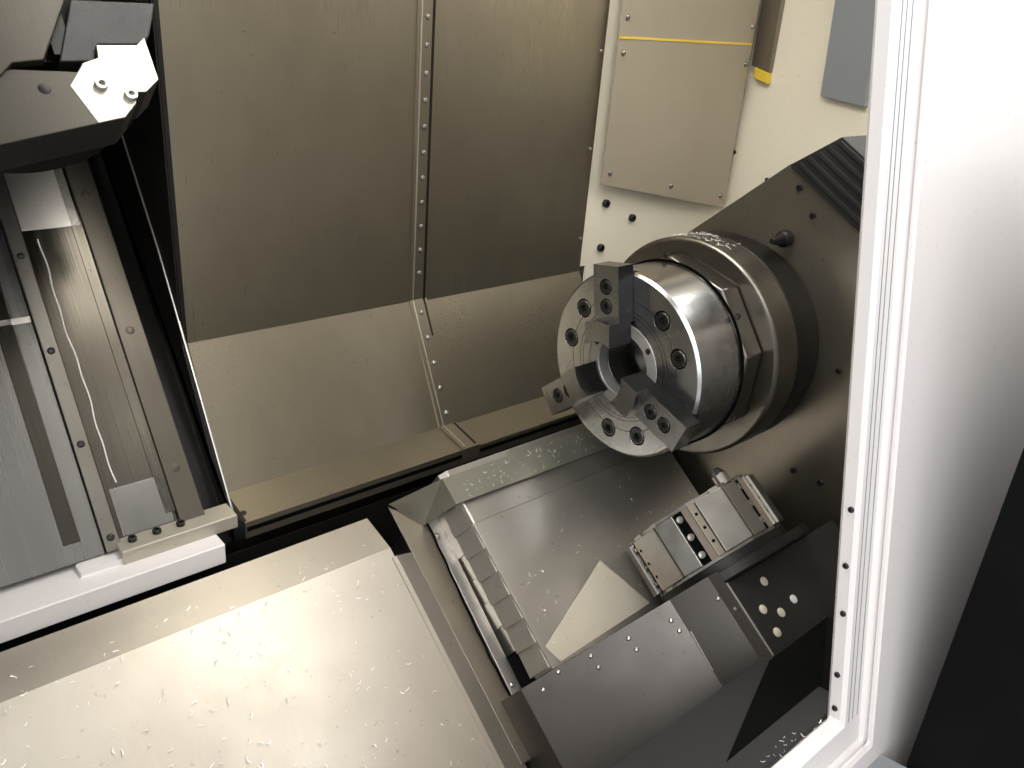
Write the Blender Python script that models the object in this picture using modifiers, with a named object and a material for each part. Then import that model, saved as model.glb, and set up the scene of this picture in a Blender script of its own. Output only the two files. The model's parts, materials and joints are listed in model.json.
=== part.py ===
"""CNC turning lathe with a slant bed, a sub spindle and two turrets.

Metres, +Z up.  The machine stands on the floor with its box centred on the
origin: X runs along the spindle axis, Y goes from the operator to the back.
Places inside the work space are given from the datum on the spindle axis:
at(x, y, z), s and n along and off the lower turret's slope, u and p along and
off the upper turret's slope.
"""
import math

import bmesh
import bpy
from mathutils import Matrix, Vector

# Clearance between pieces that touch, and thickness of sheet parts
GAP = 0.0003
CASING = 0.003
COVER = 0.002

# Overall casing
MACHINE_LENGTH = 3.0
CASING_FOOT = 0.05
REAR_CLEAR = 0.10
ROOF_CLEAR = 0.10

# Datum: on the spindle axis, just behind the chuck's face
DATUM_X = 0.45
AXIS_HEIGHT = 1.05

# Slopes, measured from the vertical
LOWER_SLOPE = math.radians(55)
UPPER_SLOPE = math.radians(39)
FRONT_LEAN = math.radians(10.8)

# Base and bed
BASE_DECK = 0.044
FOOT_HEIGHT = 0.04
FOOT_RADIUS = 0.045
FOOT_SPACING = (1.25, 0.52)
BED_END_CLEAR = (0.10, 0.05)
BED_FRONT = -0.20
BED_BACK = 0.88
BED_WAY_LENGTH = 0.33
BED_CREST = 0.0893
RIDGE = (0.165, 0.215)
RIDGE_HEIGHT = -0.275

# Front: leaning panel, door opening, jamb, door
FRONT_DISTANCE = 0.356
FRONT_PANEL = 0.004
FRONT_FOOT = -0.28
LOWER_FRONT = -0.410
OPENING_X = (-1.045, -0.100)
OPENING_H = (-0.169, 0.720)
JAMB_WIDTH = 0.030
JAMB_REBATE = 0.009
JAMB_DEPTH = 0.024
DOOR_OVERLAP = 0.02
DOOR_STANDOFF = 0.004
DOOR_THICKNESS = 0.030
DOOR_FRAME = 0.11
DOOR_TRAVEL = 0.88
RAIL_HEIGHT = 0.03
RAIL_DEPTH = 0.036
HANDLE_RADIUS = 0.010
HANDLE_LENGTH = 0.32
HANDLE_STANDOFF = 0.040
SILL_DEPTH = 0.075
SILL_THICKNESS = 0.012

# Chip drawer
DRAWER_WIDTH = 0.90
DRAWER_CENTRE = -0.75
DRAWER_HEIGHT = 0.17
DRAWER_FLOOR = 0.10
DRAWER_DEPTH = 0.70
DRAWER_WALL = 0.004
DRAWER_CLEAR = 0.006
DRAWER_FRONT = 0.012

# Walls of the work space
RIGHT_WALL = 0.575
LEFT_WALL = -1.25
WALL_FOOT = -0.24
REAR_WALL = 0.3063
REAR_WALL_FOOT = -0.10

# Telescopic covers at the back: bends of the front section in Y and Z
COVER_TOP = 0.850
BACK_COVER = ((0.300, COVER_TOP), (0.300, -0.007), (0.223, -0.155), (0.174, -0.165), (0.174, -0.185))
BACK_MOVING_X = (-0.3677, -0.054)
BACK_FIXED_X = (-0.270, 0.235)
NEST = 0.004
RIB_WIDTH = 0.026
RIB_HEIGHT = 0.003

# Plate over the rear wall
WALL_COVER_X = (0.240, 0.548)
WALL_COVER_Y = 0.285
WALL_COVER_FOOT = (0.123, 0.062)
WALL_COVER_FOLD = 0.025
WALL_COVER_SEAT = (0.60, 0.62)

# Sub spindle, its chuck and headstock
CHUCK_RADIUS = 0.105
CHUCK_FRONT = -0.0044
CHUCK_LENGTH = 0.0714
CHUCK_CHAMFER = 0.003
CHUCK_BORE = 0.034
BUSH_BORE = 0.035
BUSH_TUBE = 0.039
BUSH_LENGTH = 0.0145
BUSH_FLANGE = 0.049
FLANGE_THICKNESS = 0.006
JAW_ANGLE = math.radians(79.3)
JAW_WIDTH = 0.035
JAW_GRIP = 0.034
JAW_STEP = 0.056
JAW_ROOT = 0.052
JAW_OUTER = 0.113
JAW_LOW = 0.0236
JAW_HIGH = 0.0386
JAW_UNDERCUT = 0.0046
JAW_SEAT = 0.010
JAW_CLEAR = 0.0004
JAW_BOLTS = (0.0695, 0.0903)
JAW_BOLT = (0.0087, 0.0068, 0.0039)
FACE_BOLT_CIRCLE = 0.080
FACE_BOLT_SPREAD = math.radians(15.5)
FACE_BOLT = (0.0110, 0.0088, 0.0050)
BOLT_POCKET_DEPTH = 0.006
ADAPTER_RADIUS = 0.112
ADAPTER_LENGTH = 0.0285
ADAPTER_SIDES = 9
ADAPTER_ANGLE = math.radians(83)
DISC_RADIUS = 0.129
DISC_LENGTH = 0.043
RING_RADIUS = 0.128
RING_LENGTH = 0.0555
RING_TAPER = 0.008
SPINDLE_BORE = 0.024
SPINDLE_RADIUS = 0.060
SPINDLE_LENGTH = 0.435
BEARING_RADIUS = 0.085
BEARING_WIDTH = 0.040
CYLINDER_RADIUS = 0.070
CYLINDER_LENGTH = 0.090
PLATE_THICKNESS = 0.008
HEADSTOCK_LENGTH = 0.397
HEADSTOCK_PEAK = (-0.034, 0.213)
HEADSTOCK_FRONT = -0.210
HEADSTOCK_BACK = 0.191
HEADSTOCK_FLOOR = -0.235
HEADSTOCK_FOOT_START = 0.10
WALL_HOLE_CLEAR = 0.012
WIPER_LENGTH = 0.130
WIPER_OFFSET = (-0.054, 0.039)
WIPER_X = (0.190, 0.320)
NOZZLE_RADIUS = 0.007
NOZZLE_LENGTH = 0.030
NOZZLE_PLACE = (-0.049, 0.132)
HEADSTOCK_TRAVEL = 0.25

# Lower turret: carriage, slide, housing, drum
CARRIAGE_X = (-0.200, 0.180)
CARRIAGE_S = (0.020, 0.330)
CARRIAGE_TOP = -0.240
CARRIAGE_HEIGHT = 0.090
SLIDE_START = 0.236
SLIDE_BACK_TRAVEL = 0.020
SLIDE_FRONT = -0.262
SLIDE_REACH = 0.60
SLIDE_LEFT = -0.201
SLIDE_SHOULDER = (-0.071, -0.060)
SLIDE_FLANK_FOOT = -0.180
TURRET_TOP = -0.020
TURRET_LEFT = -0.030
TURRET_RIGHT = 0.175
HOUSING_START = 0.2505
HOUSING_FLOOR = -0.190
TURRET_CENTRE = (0.048, -0.085)
DRUM_RADIUS = 0.085
DRUM_S = (0.160, 0.2277)
DRUM_SIDES = 12
DISC_RIM = 0.100
DISC_S = (0.228, 0.250)
DISC_STEP = 0.010
SLOT_WIDTH = 0.018
SLOT_DEPTH = 0.010
TOOL_RADIUS = 0.009
TOOL_LENGTH = 0.018
TOOL_CIRCLE = 0.068
PLUG_RADIUS = 0.0045

# Covers around the lower turret
X_COVER_X = (-0.160, 0.170)
X_COVER_TOP = -0.172
X_COVER_SKIRT = 0.022
X_COVER_FLARE = 0.010
X_OUTER_START = 0.060
X_INNER_S = (-0.010, 0.198)
X_NEST = 0.006
TEETH = 7
TOOTH_RISE = 0.0012
FRONT_COVER_BEND = ((0.140, -0.188), (0.096, -0.205))
FRONT_COVER_DEPTH = -0.217
FRONT_COVER_END = 0.540
FRONT_MOVING_X = (-0.640, -0.240)
FRONT_FIXED_LEFT = -1.2467
FRONT_FIXED_LAP = 0.03
APRON_STEP = (0.025, 0.012)

# Gutter between the covers
GUTTER_Y = (0.176, 0.198)
GUTTER_RISE = 0.075
GUTTER_RIGHT = 0.235

# Upper turret: saddle, slide, drum
SADDLE_X = (-0.760, -0.409)
SADDLE_FACE = -0.249
SADDLE_FRONT = 0.2003
SADDLE_TOP = 0.750
SADDLE_STEP = 0.040
WEB_X = (-0.371, -0.368)
RAIL_PROUD = 0.004
SILL_Y = (0.150, 0.200)
SILL_Z = (-0.187, -0.165)
UPPER_SLIDE_X = (-0.600, -0.380)
UPPER_SLIDE_U = (0.4325, 0.700)
UPPER_SLIDE_TOP = 0.020
UPPER_CENTRE = (-0.493, -0.060)
UPPER_DRUM_RADIUS = 0.090
UPPER_DRUM_U = (0.352, 0.432)
UPPER_DISC = 0.067
UPPER_DISC_THICKNESS = 0.019

# Operator console
CONSOLE_X = (-0.075, 0.360)
CONSOLE_Z = (-0.40, 0.28)
CONSOLE_DEPTH = 0.0897
SCREEN_SIZE = (0.30, 0.23)
SCREEN_CENTRE = (0.1425, 0.10)
SCREEN_DEPTH = 0.006
BUTTON_TRAVEL = 0.004
BUTTON_RADIUS = 0.012
BUTTON_RISE = 0.006
BUTTON_DEPTH = 0.018
ESTOP_RADIUS = 0.020
ESTOP_RISE = 0.020
KNOB_RISE = 0.016
BUTTON_ROW = -0.16
BUTTON_X = (0.04, 0.09, 0.16, 0.24)

# Work lamp
LAMP_SIZE = (0.045, 0.26, 0.09)
LAMP_PLACE = (0.12, 0.50)

PAINT_WHITE = (0.80, 0.79, 0.80)
PAINT_CREAM = (0.78, 0.72, 0.56)
PAINT_GREY = (0.30, 0.31, 0.33)
CAST_IRON = (0.16, 0.17, 0.18)
STAINLESS = (0.55, 0.53, 0.49)
STEEL = (0.62, 0.62, 0.62)
DARK_STEEL = (0.05, 0.05, 0.05)
BLACK_PLASTIC = (0.02, 0.02, 0.022)
RED = (0.65, 0.03, 0.03)
GREEN = (0.05, 0.40, 0.12)
YELLOW = (0.80, 0.60, 0.05)
GLASS = (0.35, 0.42, 0.42)

# Casing limits as seen from the datum, with the stop button in front
LEFT_END = -MACHINE_LENGTH / 2 - DATUM_X
RIGHT_END = MACHINE_LENGTH / 2 - DATUM_X
BED_LEFT = LEFT_END + BED_END_CLEAR[0]
BED_RIGHT = RIGHT_END - BED_END_CLEAR[1]
FRONT_END = LOWER_FRONT - GAP - CONSOLE_DEPTH - ESTOP_RISE
REAR_END = BED_BACK + REAR_CLEAR
ROOF = COVER_TOP + ROOF_CLEAR
FLOOR = -AXIS_HEIGHT

# Both way planes lie this far below the datum, under the carriage's block
WAY_DEPTH = CARRIAGE_HEIGHT - CARRIAGE_TOP
BASE_HEIGHT = DRAWER_FLOOR + DRAWER_HEIGHT + DRAWER_CLEAR + BASE_DECK
BED_TOP = ((BED_BACK - BED_CREST) * math.cos(UPPER_SLOPE) - WAY_DEPTH) / math.sin(UPPER_SLOPE)

DATUM = Vector((DATUM_X, -(FRONT_END + REAR_END) / 2, AXIS_HEIGHT))
X_AXIS = Vector((1, 0, 0))
Y_AXIS = Vector((0, 1, 0))
Z_AXIS = Vector((0, 0, 1))
S_AXIS = Vector((0, -math.sin(LOWER_SLOPE), -math.cos(LOWER_SLOPE)))
N_AXIS = Vector((0, -math.cos(LOWER_SLOPE), math.sin(LOWER_SLOPE)))
U_AXIS = Vector((0, math.sin(UPPER_SLOPE), math.cos(UPPER_SLOPE)))
P_AXIS = Vector((0, -math.cos(UPPER_SLOPE), math.sin(UPPER_SLOPE)))
FRONT_UP = Vector((0, math.sin(FRONT_LEAN), math.cos(FRONT_LEAN)))
FRONT_OUT = Vector((0, -math.cos(FRONT_LEAN), math.sin(FRONT_LEAN)))


def at(x, y, z):
    """Point from the datum."""
    return DATUM + Vector((x, y, z))


def slope_yz(s, n):
    """Y and Z, from the datum, of a point s down the lower slope and n above it."""
    point = S_AXIS * s + N_AXIS * n
    return point.y, point.z


def upper_yz(u, p):
    """Y and Z, from the datum, of a point u up the upper slope and p above it."""
    point = U_AXIS * u + P_AXIS * p
    return point.y, point.z


def front_yz(h, d):
    """Y and Z, from the datum, of a point h up the front panel and d outside it."""
    point = Vector((0, -FRONT_DISTANCE, 0)) + FRONT_UP * h + FRONT_OUT * d
    return point.y, point.z


def front_y(z, d):
    """Y, from the datum, of the front plane offset by d at the height z."""
    h = (z - d * math.sin(FRONT_LEAN)) / math.cos(FRONT_LEAN)
    return front_yz(h, d)[0]


def placed(origin, x_axis, y_axis):
    """Matrix whose local x and y run along two axes from an origin."""
    matrix = Matrix((x_axis, y_axis, x_axis.cross(y_axis))).transposed().to_4x4()
    matrix.translation = origin
    return matrix


ALONG_X = placed(DATUM, Y_AXIS, Z_AXIS)
FACING_FRONT = placed(DATUM, X_AXIS, Z_AXIS)
FACING_UP = placed(DATUM, X_AXIS, Y_AXIS)
ALONG_S = placed(DATUM, X_AXIS, N_AXIS)
ALONG_U = placed(DATUM, X_AXIS, P_AXIS)
ON_FRONT = placed(at(0, -FRONT_DISTANCE, 0), X_AXIS, FRONT_UP)

materials = {}


def material(colour, roughness, metallic):
    """Material with one colour and finish, shared by the parts that use it."""
    key = (colour, roughness, metallic)
    if key not in materials:
        made = bpy.data.materials.new(f"finish_{len(materials)}")
        made.use_nodes = True
        shader = made.node_tree.nodes["Principled BSDF"]
        shader.inputs["Base Color"].default_value = (*colour, 1)
        shader.inputs["Roughness"].default_value = roughness
        shader.inputs["Metallic"].default_value = metallic
        made.diffuse_color = (*colour, 1)
        materials[key] = made
    return materials[key]


def new_object(name, mesh):
    """Object in the part's collection."""
    made = bpy.data.objects.new(name, mesh)
    bpy.data.collections["turning_lathe"].objects.link(made)
    return made


def bake(piece):
    """Replace a piece by its evaluated, welded mesh with the normals outside."""
    graph = bpy.context.evaluated_depsgraph_get()
    graph.update()
    mesh = bpy.data.meshes.new_from_object(piece.evaluated_get(graph))
    shape = bmesh.new()
    shape.from_mesh(mesh)
    bmesh.ops.remove_doubles(shape, verts=shape.verts, dist=1e-6)
    bmesh.ops.recalc_face_normals(shape, faces=shape.faces)
    shape.to_mesh(mesh)
    shape.free()
    made = new_object(piece.name + "_baked", mesh)
    made.matrix_world = piece.matrix_world
    name = piece.name
    bpy.data.objects.remove(piece)
    made.name = name
    return made


def settle(piece):
    """Move a piece's matrix into its mesh."""
    piece.data.transform(piece.matrix_world)
    piece.matrix_world = Matrix.Identity(4)
    return piece


def box(name, low, high):
    """Box between two corners given from the datum."""
    shape = bmesh.new()
    bmesh.ops.create_cube(shape, size=1)
    size = Vector(high) - Vector(low)
    middle = (Vector(high) + Vector(low)) / 2
    bmesh.ops.scale(shape, vec=size, verts=shape.verts)
    bmesh.ops.translate(shape, vec=DATUM + middle, verts=shape.verts)
    mesh = bpy.data.meshes.new(name)
    shape.to_mesh(mesh)
    shape.free()
    return new_object(name, mesh)


def flat_curve(name, points, cyclic, depth, filled):
    """2D curve through points, extruded by half its depth each way."""
    curve = bpy.data.curves.new(name, "CURVE")
    curve.dimensions = "2D"
    curve.fill_mode = "BOTH" if filled else "NONE"
    spline = curve.splines.new("POLY")
    spline.points.add(len(points) - 1)
    for spot, (x, y) in zip(spline.points, points):
        spot.co = (x, y, 0, 1)
    spline.use_cyclic_u = cyclic
    curve.extrude = depth / 2
    return new_object(name, curve)


def prism(name, outline, start, end, frame):
    """Outline in a frame's local x and y, extruded from start to end along its z."""
    piece = flat_curve(name, outline, True, end - start, True)
    piece.matrix_world = frame @ Matrix.Translation((0, 0, (start + end) / 2))
    return settle(bake(piece))


def sheet(name, bends, start, end, frame, thickness, side):
    """Folded sheet: open line of bends carried from start to end, then thickened."""
    piece = flat_curve(name, bends, False, end - start, False)
    piece.matrix_world = frame @ Matrix.Translation((0, 0, (start + end) / 2))
    piece = settle(bake(piece))
    wall = piece.modifiers.new("wall", "SOLIDIFY")
    wall.thickness = thickness
    wall.offset = side
    wall.use_even_offset = True
    return bake(piece)


def turned(name, profile, frame, steps):
    """Profile of radius and height, outer side going down, turned about local z."""
    mesh = bpy.data.meshes.new(name)
    open_ends = profile[0][0] == 0
    edges = [(i, i + 1) for i in range(len(profile) - 1)]
    if not open_ends:
        edges.append((len(profile) - 1, 0))
    mesh.from_pydata([(r, 0, h) for r, h in profile], edges, [])
    piece = new_object(name, mesh)
    piece.matrix_world = frame
    spin = piece.modifiers.new("turn", "SCREW")
    spin.steps = steps
    spin.render_steps = steps
    spin.use_merge_vertices = True
    spin.merge_threshold = 1e-5
    return settle(bake(piece))


def disc(name, radius, start, end, frame, steps, bore=0, chamfer=0):
    """Turned disc or ring between two heights, with chamfered outer edges."""
    c = chamfer
    outer = [(radius, end), (radius, start)]
    if c:
        outer = [(radius - c, end), (radius, end - c), (radius, start + c), (radius - c, start)]
    return turned(name, [(bore, end), *outer, (bore, start)], frame, steps)


def combine(piece, tool, operation):
    """Boolean of a piece with a tool, which is used up."""
    change = piece.modifiers.new("change", "BOOLEAN")
    change.operation = operation
    change.solver = "EXACT"
    change.object = tool
    piece = bake(piece)
    bpy.data.objects.remove(tool)
    return piece


def cut(piece, *tools):
    """Piece with the tools' shapes taken away."""
    for tool in tools:
        piece = combine(piece, tool, "DIFFERENCE")
    return piece


def join(piece, *others):
    """One solid from several that overlap."""
    for other in others:
        piece = combine(piece, other, "UNION")
    return piece


def finish(piece, colour, roughness, metallic, smooth=False):
    """Give a piece its material, and smooth shading if it is round."""
    piece.data.materials.clear()
    piece.data.materials.append(material(colour, roughness, metallic))
    if smooth:
        piece.data.shade_smooth()
        piece.data.set_sharp_from_angle(angle=math.radians(30))
    return piece


def turn_about(frame, angle):
    """Frame turned by an angle about its own z."""
    return frame @ Matrix.Rotation(angle, 4, "Z")


def body(name, location, pieces):
    """Empty on a joint's axis that carries the pieces of one moving body."""
    pivot = bpy.data.objects.new(name, None)
    bpy.data.collections["turning_lathe"].objects.link(pivot)
    pivot.location = location
    pivot.empty_display_size = 0.05
    bpy.context.view_layer.update()
    for piece in pieces:
        piece.parent = pivot
        piece.matrix_parent_inverse = pivot.matrix_world.inverted()
    return pivot


def socket_bolt_cutters(frame, face, outward, sizes):
    """Ring and hexagon that leave a socket head standing in its pocket."""
    pocket_radius, head, socket_radius = sizes
    near = face + outward * 0.001
    far = face - outward * BOLT_POCKET_DEPTH
    low, high = min(near, far), max(near, far)
    pocket = disc("pocket", pocket_radius, low, high, frame, 16, bore=head)
    socket = disc("socket", socket_radius, low, high, frame, 6)
    return pocket, socket


# Base, bed and casing

def base_frame():
    """Welded base with feet, a tunnel for the chip drawer and a chute above it."""
    rear = REAR_END - CASING - GAP
    front = LOWER_FRONT + CASING + GAP
    side = CASING + GAP
    base = box("base_frame", (LEFT_END + side, front, FLOOR + FOOT_HEIGHT),
               (RIGHT_END - side, rear, FLOOR + BASE_HEIGHT))
    left = DRAWER_CENTRE - DRAWER_WIDTH / 2 - DRAWER_CLEAR
    right = DRAWER_CENTRE + DRAWER_WIDTH / 2 + DRAWER_CLEAR
    floor = FLOOR + DRAWER_FLOOR - GAP
    top = FLOOR + DRAWER_FLOOR + DRAWER_HEIGHT + DRAWER_CLEAR
    tunnel = box("tunnel", (left, front - 0.1, floor), (right, front + DRAWER_DEPTH + 0.02, top))
    chute = box("chute", (left + 0.03, front + 0.03, top - 0.01),
                (right - 0.03, BED_FRONT - 0.03, FLOOR + BASE_HEIGHT + 0.1))
    base = cut(base, tunnel, chute)
    for x in (-FOOT_SPACING[0], 0, FOOT_SPACING[0]):
        for y in (-FOOT_SPACING[1], FOOT_SPACING[1]):
            place = placed(Vector((x, y + 0.06, 0)), X_AXIS, Y_AXIS)
            base = join(base, disc("foot", FOOT_RADIUS, 0, FOOT_HEIGHT + 0.01, place, 24))
    return finish(base, CAST_IRON, 0.6, 0)


def way_line(s):
    """Y and Z on the bed's lower way."""
    return slope_yz(s, -WAY_DEPTH)


def upper_way_y(z):
    """Y of the bed's upper way at a height."""
    return (WAY_DEPTH + z * math.sin(UPPER_SLOPE)) / math.cos(UPPER_SLOPE)


def lower_way_z(y):
    """Height of the bed's lower way at a depth."""
    return (-WAY_DEPTH + y * math.cos(LOWER_SLOPE)) / math.sin(LOWER_SLOPE)


def bed_casting():
    """Slant bed: lower way in front of a flat ridge, upper way behind it."""
    foot = FLOOR + BASE_HEIGHT + GAP
    low = way_line(BED_WAY_LENGTH)
    outline = [
        (BED_FRONT, foot),
        (BED_FRONT, low[1] - 0.085),
        low,
        (RIDGE[0], min(lower_way_z(RIDGE[0]), RIDGE_HEIGHT)),
        (RIDGE[1], RIDGE_HEIGHT),
        (upper_way_y(RIDGE_HEIGHT + 0.02), RIDGE_HEIGHT + 0.02),
        (upper_way_y(BED_TOP), BED_TOP),
        (BED_BACK, BED_TOP),
        (BED_BACK, foot),
    ]
    bed = prism("bed_casting", outline, BED_LEFT, BED_RIGHT, ALONG_X)
    return finish(bed, CAST_IRON, 0.55, 0)


def side_outline():
    """Outline of the casing seen from its end."""
    return [
        (LOWER_FRONT, FLOOR + CASING_FOOT),
        (LOWER_FRONT, FRONT_FOOT),
        (front_y(FRONT_FOOT, 0), FRONT_FOOT),
        (front_y(ROOF, 0), ROOF),
        (REAR_END, ROOF),
        (REAR_END, FLOOR + CASING_FOOT),
    ]


def casing():
    """Side, rear, roof and front sheets of the enclosure."""
    inner_left = LEFT_END + CASING + GAP
    inner_right = RIGHT_END - CASING - GAP
    left = prism("left_side_panel", side_outline(), LEFT_END, LEFT_END + CASING, ALONG_X)
    right = prism("right_side_panel", side_outline(), RIGHT_END - CASING, RIGHT_END, ALONG_X)
    under_roof = ROOF - CASING - GAP
    rear = box("rear_panel", (inner_left, REAR_END - CASING, FLOOR + CASING_FOOT),
               (inner_right, REAR_END, under_roof))
    roof = box("roof_panel", (inner_left, front_y(under_roof, 0), ROOF - CASING),
               (inner_right, REAR_END, ROOF))
    lower = box("front_lower_panel", (inner_left, LOWER_FRONT, FLOOR + CASING_FOOT),
                (inner_right, LOWER_FRONT + CASING, FRONT_FOOT - GAP))
    half = DRAWER_WIDTH / 2 + DRAWER_CLEAR
    floor = FLOOR + DRAWER_FLOOR - DRAWER_CLEAR
    mouth = box("mouth", (DRAWER_CENTRE - half, LOWER_FRONT - 0.1, floor),
                (DRAWER_CENTRE + half, LOWER_FRONT + 0.1, floor + DRAWER_HEIGHT + 2 * DRAWER_CLEAR))
    lower = cut(lower, mouth)
    foot_h = FRONT_FOOT / math.cos(FRONT_LEAN) + 0.001
    top_h = (under_roof - CASING) / math.cos(FRONT_LEAN)
    outline = [(inner_left, foot_h), (inner_right, foot_h), (inner_right, top_h), (inner_left, top_h)]
    upper = prism("front_upper_panel", outline, -FRONT_PANEL, 0, ON_FRONT)
    hole = [(OPENING_X[0], OPENING_H[0]), (OPENING_X[1], OPENING_H[0]),
            (OPENING_X[1], OPENING_H[1]), (OPENING_X[0], OPENING_H[1])]
    upper = cut(upper, prism("hole", hole, -0.05, 0.05, ON_FRONT))
    for piece in (left, right, rear, roof, lower, upper):
        finish(piece, PAINT_WHITE, 0.4, 0)
    return left, right, rear, roof, lower, upper


def rectangle(x, h, grow=0.0):
    """Four corners of a rectangle, grown on every side."""
    return [(x[0] - grow, h[0] - grow), (x[1] + grow, h[0] - grow),
            (x[1] + grow, h[1] + grow), (x[0] - grow, h[1] + grow)]


def door_jamb():
    """Rebated frame behind the opening, which the door closes against."""
    back = -JAMB_DEPTH
    front = -FRONT_PANEL - GAP
    jamb = prism("door_jamb", rectangle(OPENING_X, OPENING_H, JAMB_WIDTH), back, front, ON_FRONT)
    through = prism("through", rectangle(OPENING_X, OPENING_H, -JAMB_WIDTH), -0.1, 0.1, ON_FRONT)
    rebate = prism("rebate", rectangle(OPENING_X, OPENING_H), -JAMB_REBATE, 0.1, ON_FRONT)
    return finish(cut(jamb, through, rebate), PAINT_WHITE, 0.35, 0)


def door_rails():
    """Rails above and below the door, on the outside of the front panel."""
    door_x, door_h = door_limits()
    left = door_x[0] - DOOR_TRAVEL
    lower_h = (door_h[0] - GAP - RAIL_HEIGHT, door_h[0] - GAP)
    upper_h = (door_h[1] + GAP, door_h[1] + GAP + RAIL_HEIGHT)
    lower = prism("door_lower_rail", rectangle((left, door_x[1]), lower_h), GAP, RAIL_DEPTH, ON_FRONT)
    upper = prism("door_upper_rail", rectangle((left, door_x[1]), upper_h), GAP, RAIL_DEPTH, ON_FRONT)
    return finish(lower, PAINT_GREY, 0.4, 0), finish(upper, PAINT_GREY, 0.4, 0)


def door_limits():
    """Closed door's limits along X and up the front panel."""
    x = (OPENING_X[0] - DOOR_OVERLAP, OPENING_X[1] + DOOR_OVERLAP)
    h = (OPENING_H[0] - DOOR_OVERLAP, OPENING_H[1] + DOOR_OVERLAP)
    return x, h


def door():
    """Sliding door at its open end: frame, window and handle."""
    door_x, door_h = door_limits()
    x = (door_x[0] - DOOR_TRAVEL, door_x[1] - DOOR_TRAVEL)
    inner, outer = DOOR_STANDOFF, DOOR_STANDOFF + DOOR_THICKNESS
    panel = prism("door_panel", rectangle(x, door_h), inner, outer, ON_FRONT)
    panel = cut(panel, prism("view", rectangle(x, door_h, -DOOR_FRAME), -0.1, 0.1, ON_FRONT))
    edge = DOOR_FRAME + GAP
    middle = (inner + outer) / 2
    window = prism("door_window", rectangle(x, door_h, -edge), middle - 0.005, middle + 0.005, ON_FRONT)
    grip_x = x[1] - DOOR_FRAME / 2
    bar = turned("door_handle", [(0, HANDLE_LENGTH / 2), (HANDLE_RADIUS, HANDLE_LENGTH / 2),
                                 (HANDLE_RADIUS, -HANDLE_LENGTH / 2), (0, -HANDLE_LENGTH / 2)],
                 placed(handle_point(grip_x, 0.2, outer + HANDLE_STANDOFF), FRONT_OUT, X_AXIS), 16)
    for side in (-1, 1):
        h = 0.2 + side * (HANDLE_LENGTH / 2 - 0.03)
        foot = placed(handle_point(grip_x, h, outer + GAP), X_AXIS, FRONT_UP)
        bar = join(bar, disc("post", HANDLE_RADIUS * 0.8, 0, HANDLE_STANDOFF, foot, 12))
    return (finish(panel, PAINT_WHITE, 0.35, 0), finish(window, GLASS, 0.1, 0),
            finish(bar, STEEL, 0.3, 1, smooth=True))


def handle_point(x, h, d):
    """Point x along, h up and d outside the front panel."""
    y, z = front_yz(h, d)
    return at(x, y, z)


def door_sill():
    """Stainless ledge inside the lower edge of the opening."""
    top = front_yz(OPENING_H[0] + JAMB_WIDTH, -JAMB_DEPTH)[1]
    y = front_y(top, -JAMB_DEPTH) + GAP
    outline = [(y, top), (y - math.tan(FRONT_LEAN) * SILL_THICKNESS, top - SILL_THICKNESS),
               (y + SILL_DEPTH, top - SILL_THICKNESS - 0.01), (y + SILL_DEPTH, top - 0.01)]
    sill = prism("door_sill", outline, OPENING_X[0], OPENING_X[1], ALONG_X)
    return finish(sill, STAINLESS, 0.35, 1)


def chip_drawer():
    """Open drawer for chips and coolant with a pull bar on its front."""
    half = DRAWER_WIDTH / 2
    front = LOWER_FRONT - GAP
    back = LOWER_FRONT + DRAWER_DEPTH
    floor = FLOOR + DRAWER_FLOOR
    tray = box("chip_drawer", (DRAWER_CENTRE - half, front - 0.002, floor),
               (DRAWER_CENTRE + half, back, floor + DRAWER_HEIGHT))
    w = DRAWER_WALL
    hollow = box("hollow", (DRAWER_CENTRE - half + w, front + w, floor + w),
                 (DRAWER_CENTRE + half - w, back - w, floor + DRAWER_HEIGHT + 0.1))
    tray = cut(tray, hollow)
    lip = 0.02
    plate = box("plate", (DRAWER_CENTRE - half - lip, front - DRAWER_FRONT, floor - lip),
                (DRAWER_CENTRE + half + lip, front, floor + DRAWER_HEIGHT + lip))
    tray = join(tray, plate)
    grip = front - DRAWER_FRONT - 0.03
    middle = floor + DRAWER_HEIGHT / 2
    for x in (-0.12, 0.12):
        post = box("post", (DRAWER_CENTRE + x - 0.008, grip, middle - 0.008),
                   (DRAWER_CENTRE + x + 0.008, front - DRAWER_FRONT + 0.002, middle + 0.008))
        tray = join(tray, post)
    bar = box("bar", (DRAWER_CENTRE - 0.14, grip - 0.012, middle - 0.008),
              (DRAWER_CENTRE + 0.14, grip + 0.002, middle + 0.008))
    return finish(join(tray, bar), PAINT_GREY, 0.4, 0)


# Walls of the work space

def wall_outline(clear):
    """End wall: along the front panel, the roof and the bed's upper way."""
    d = -FRONT_PANEL - GAP
    top = ROOF - CASING - GAP
    back = upper_way_y(BED_TOP) - clear
    return [
        (front_y(WALL_FOOT, d), WALL_FOOT),
        (front_y(top - CASING, d), top - CASING),
        (front_y(top - CASING, d) + 0.02, top),
        (back, top),
        (back, BED_TOP),
        (upper_way_y(WALL_FOOT) - clear, WALL_FOOT),
    ]


def headstock_outline(grow=0.0):
    """Section of the headstock across the spindle axis, grown outwards."""
    px, pz = HEADSTOCK_PEAK
    front_drop = (px - HEADSTOCK_FRONT) * 0.541
    back_drop = (HEADSTOCK_BACK - px) * 0.88
    g = grow
    return [
        (px, pz + 1.3 * g),
        (HEADSTOCK_FRONT - g, pz - front_drop + g),
        (HEADSTOCK_FRONT - g, -0.200 - g),
        (-0.120, HEADSTOCK_FLOOR - g),
        (0.060, HEADSTOCK_FLOOR - g),
        (HEADSTOCK_BACK + g, -0.120 - g),
        (HEADSTOCK_BACK + g, pz - back_drop + g),
    ]


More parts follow.
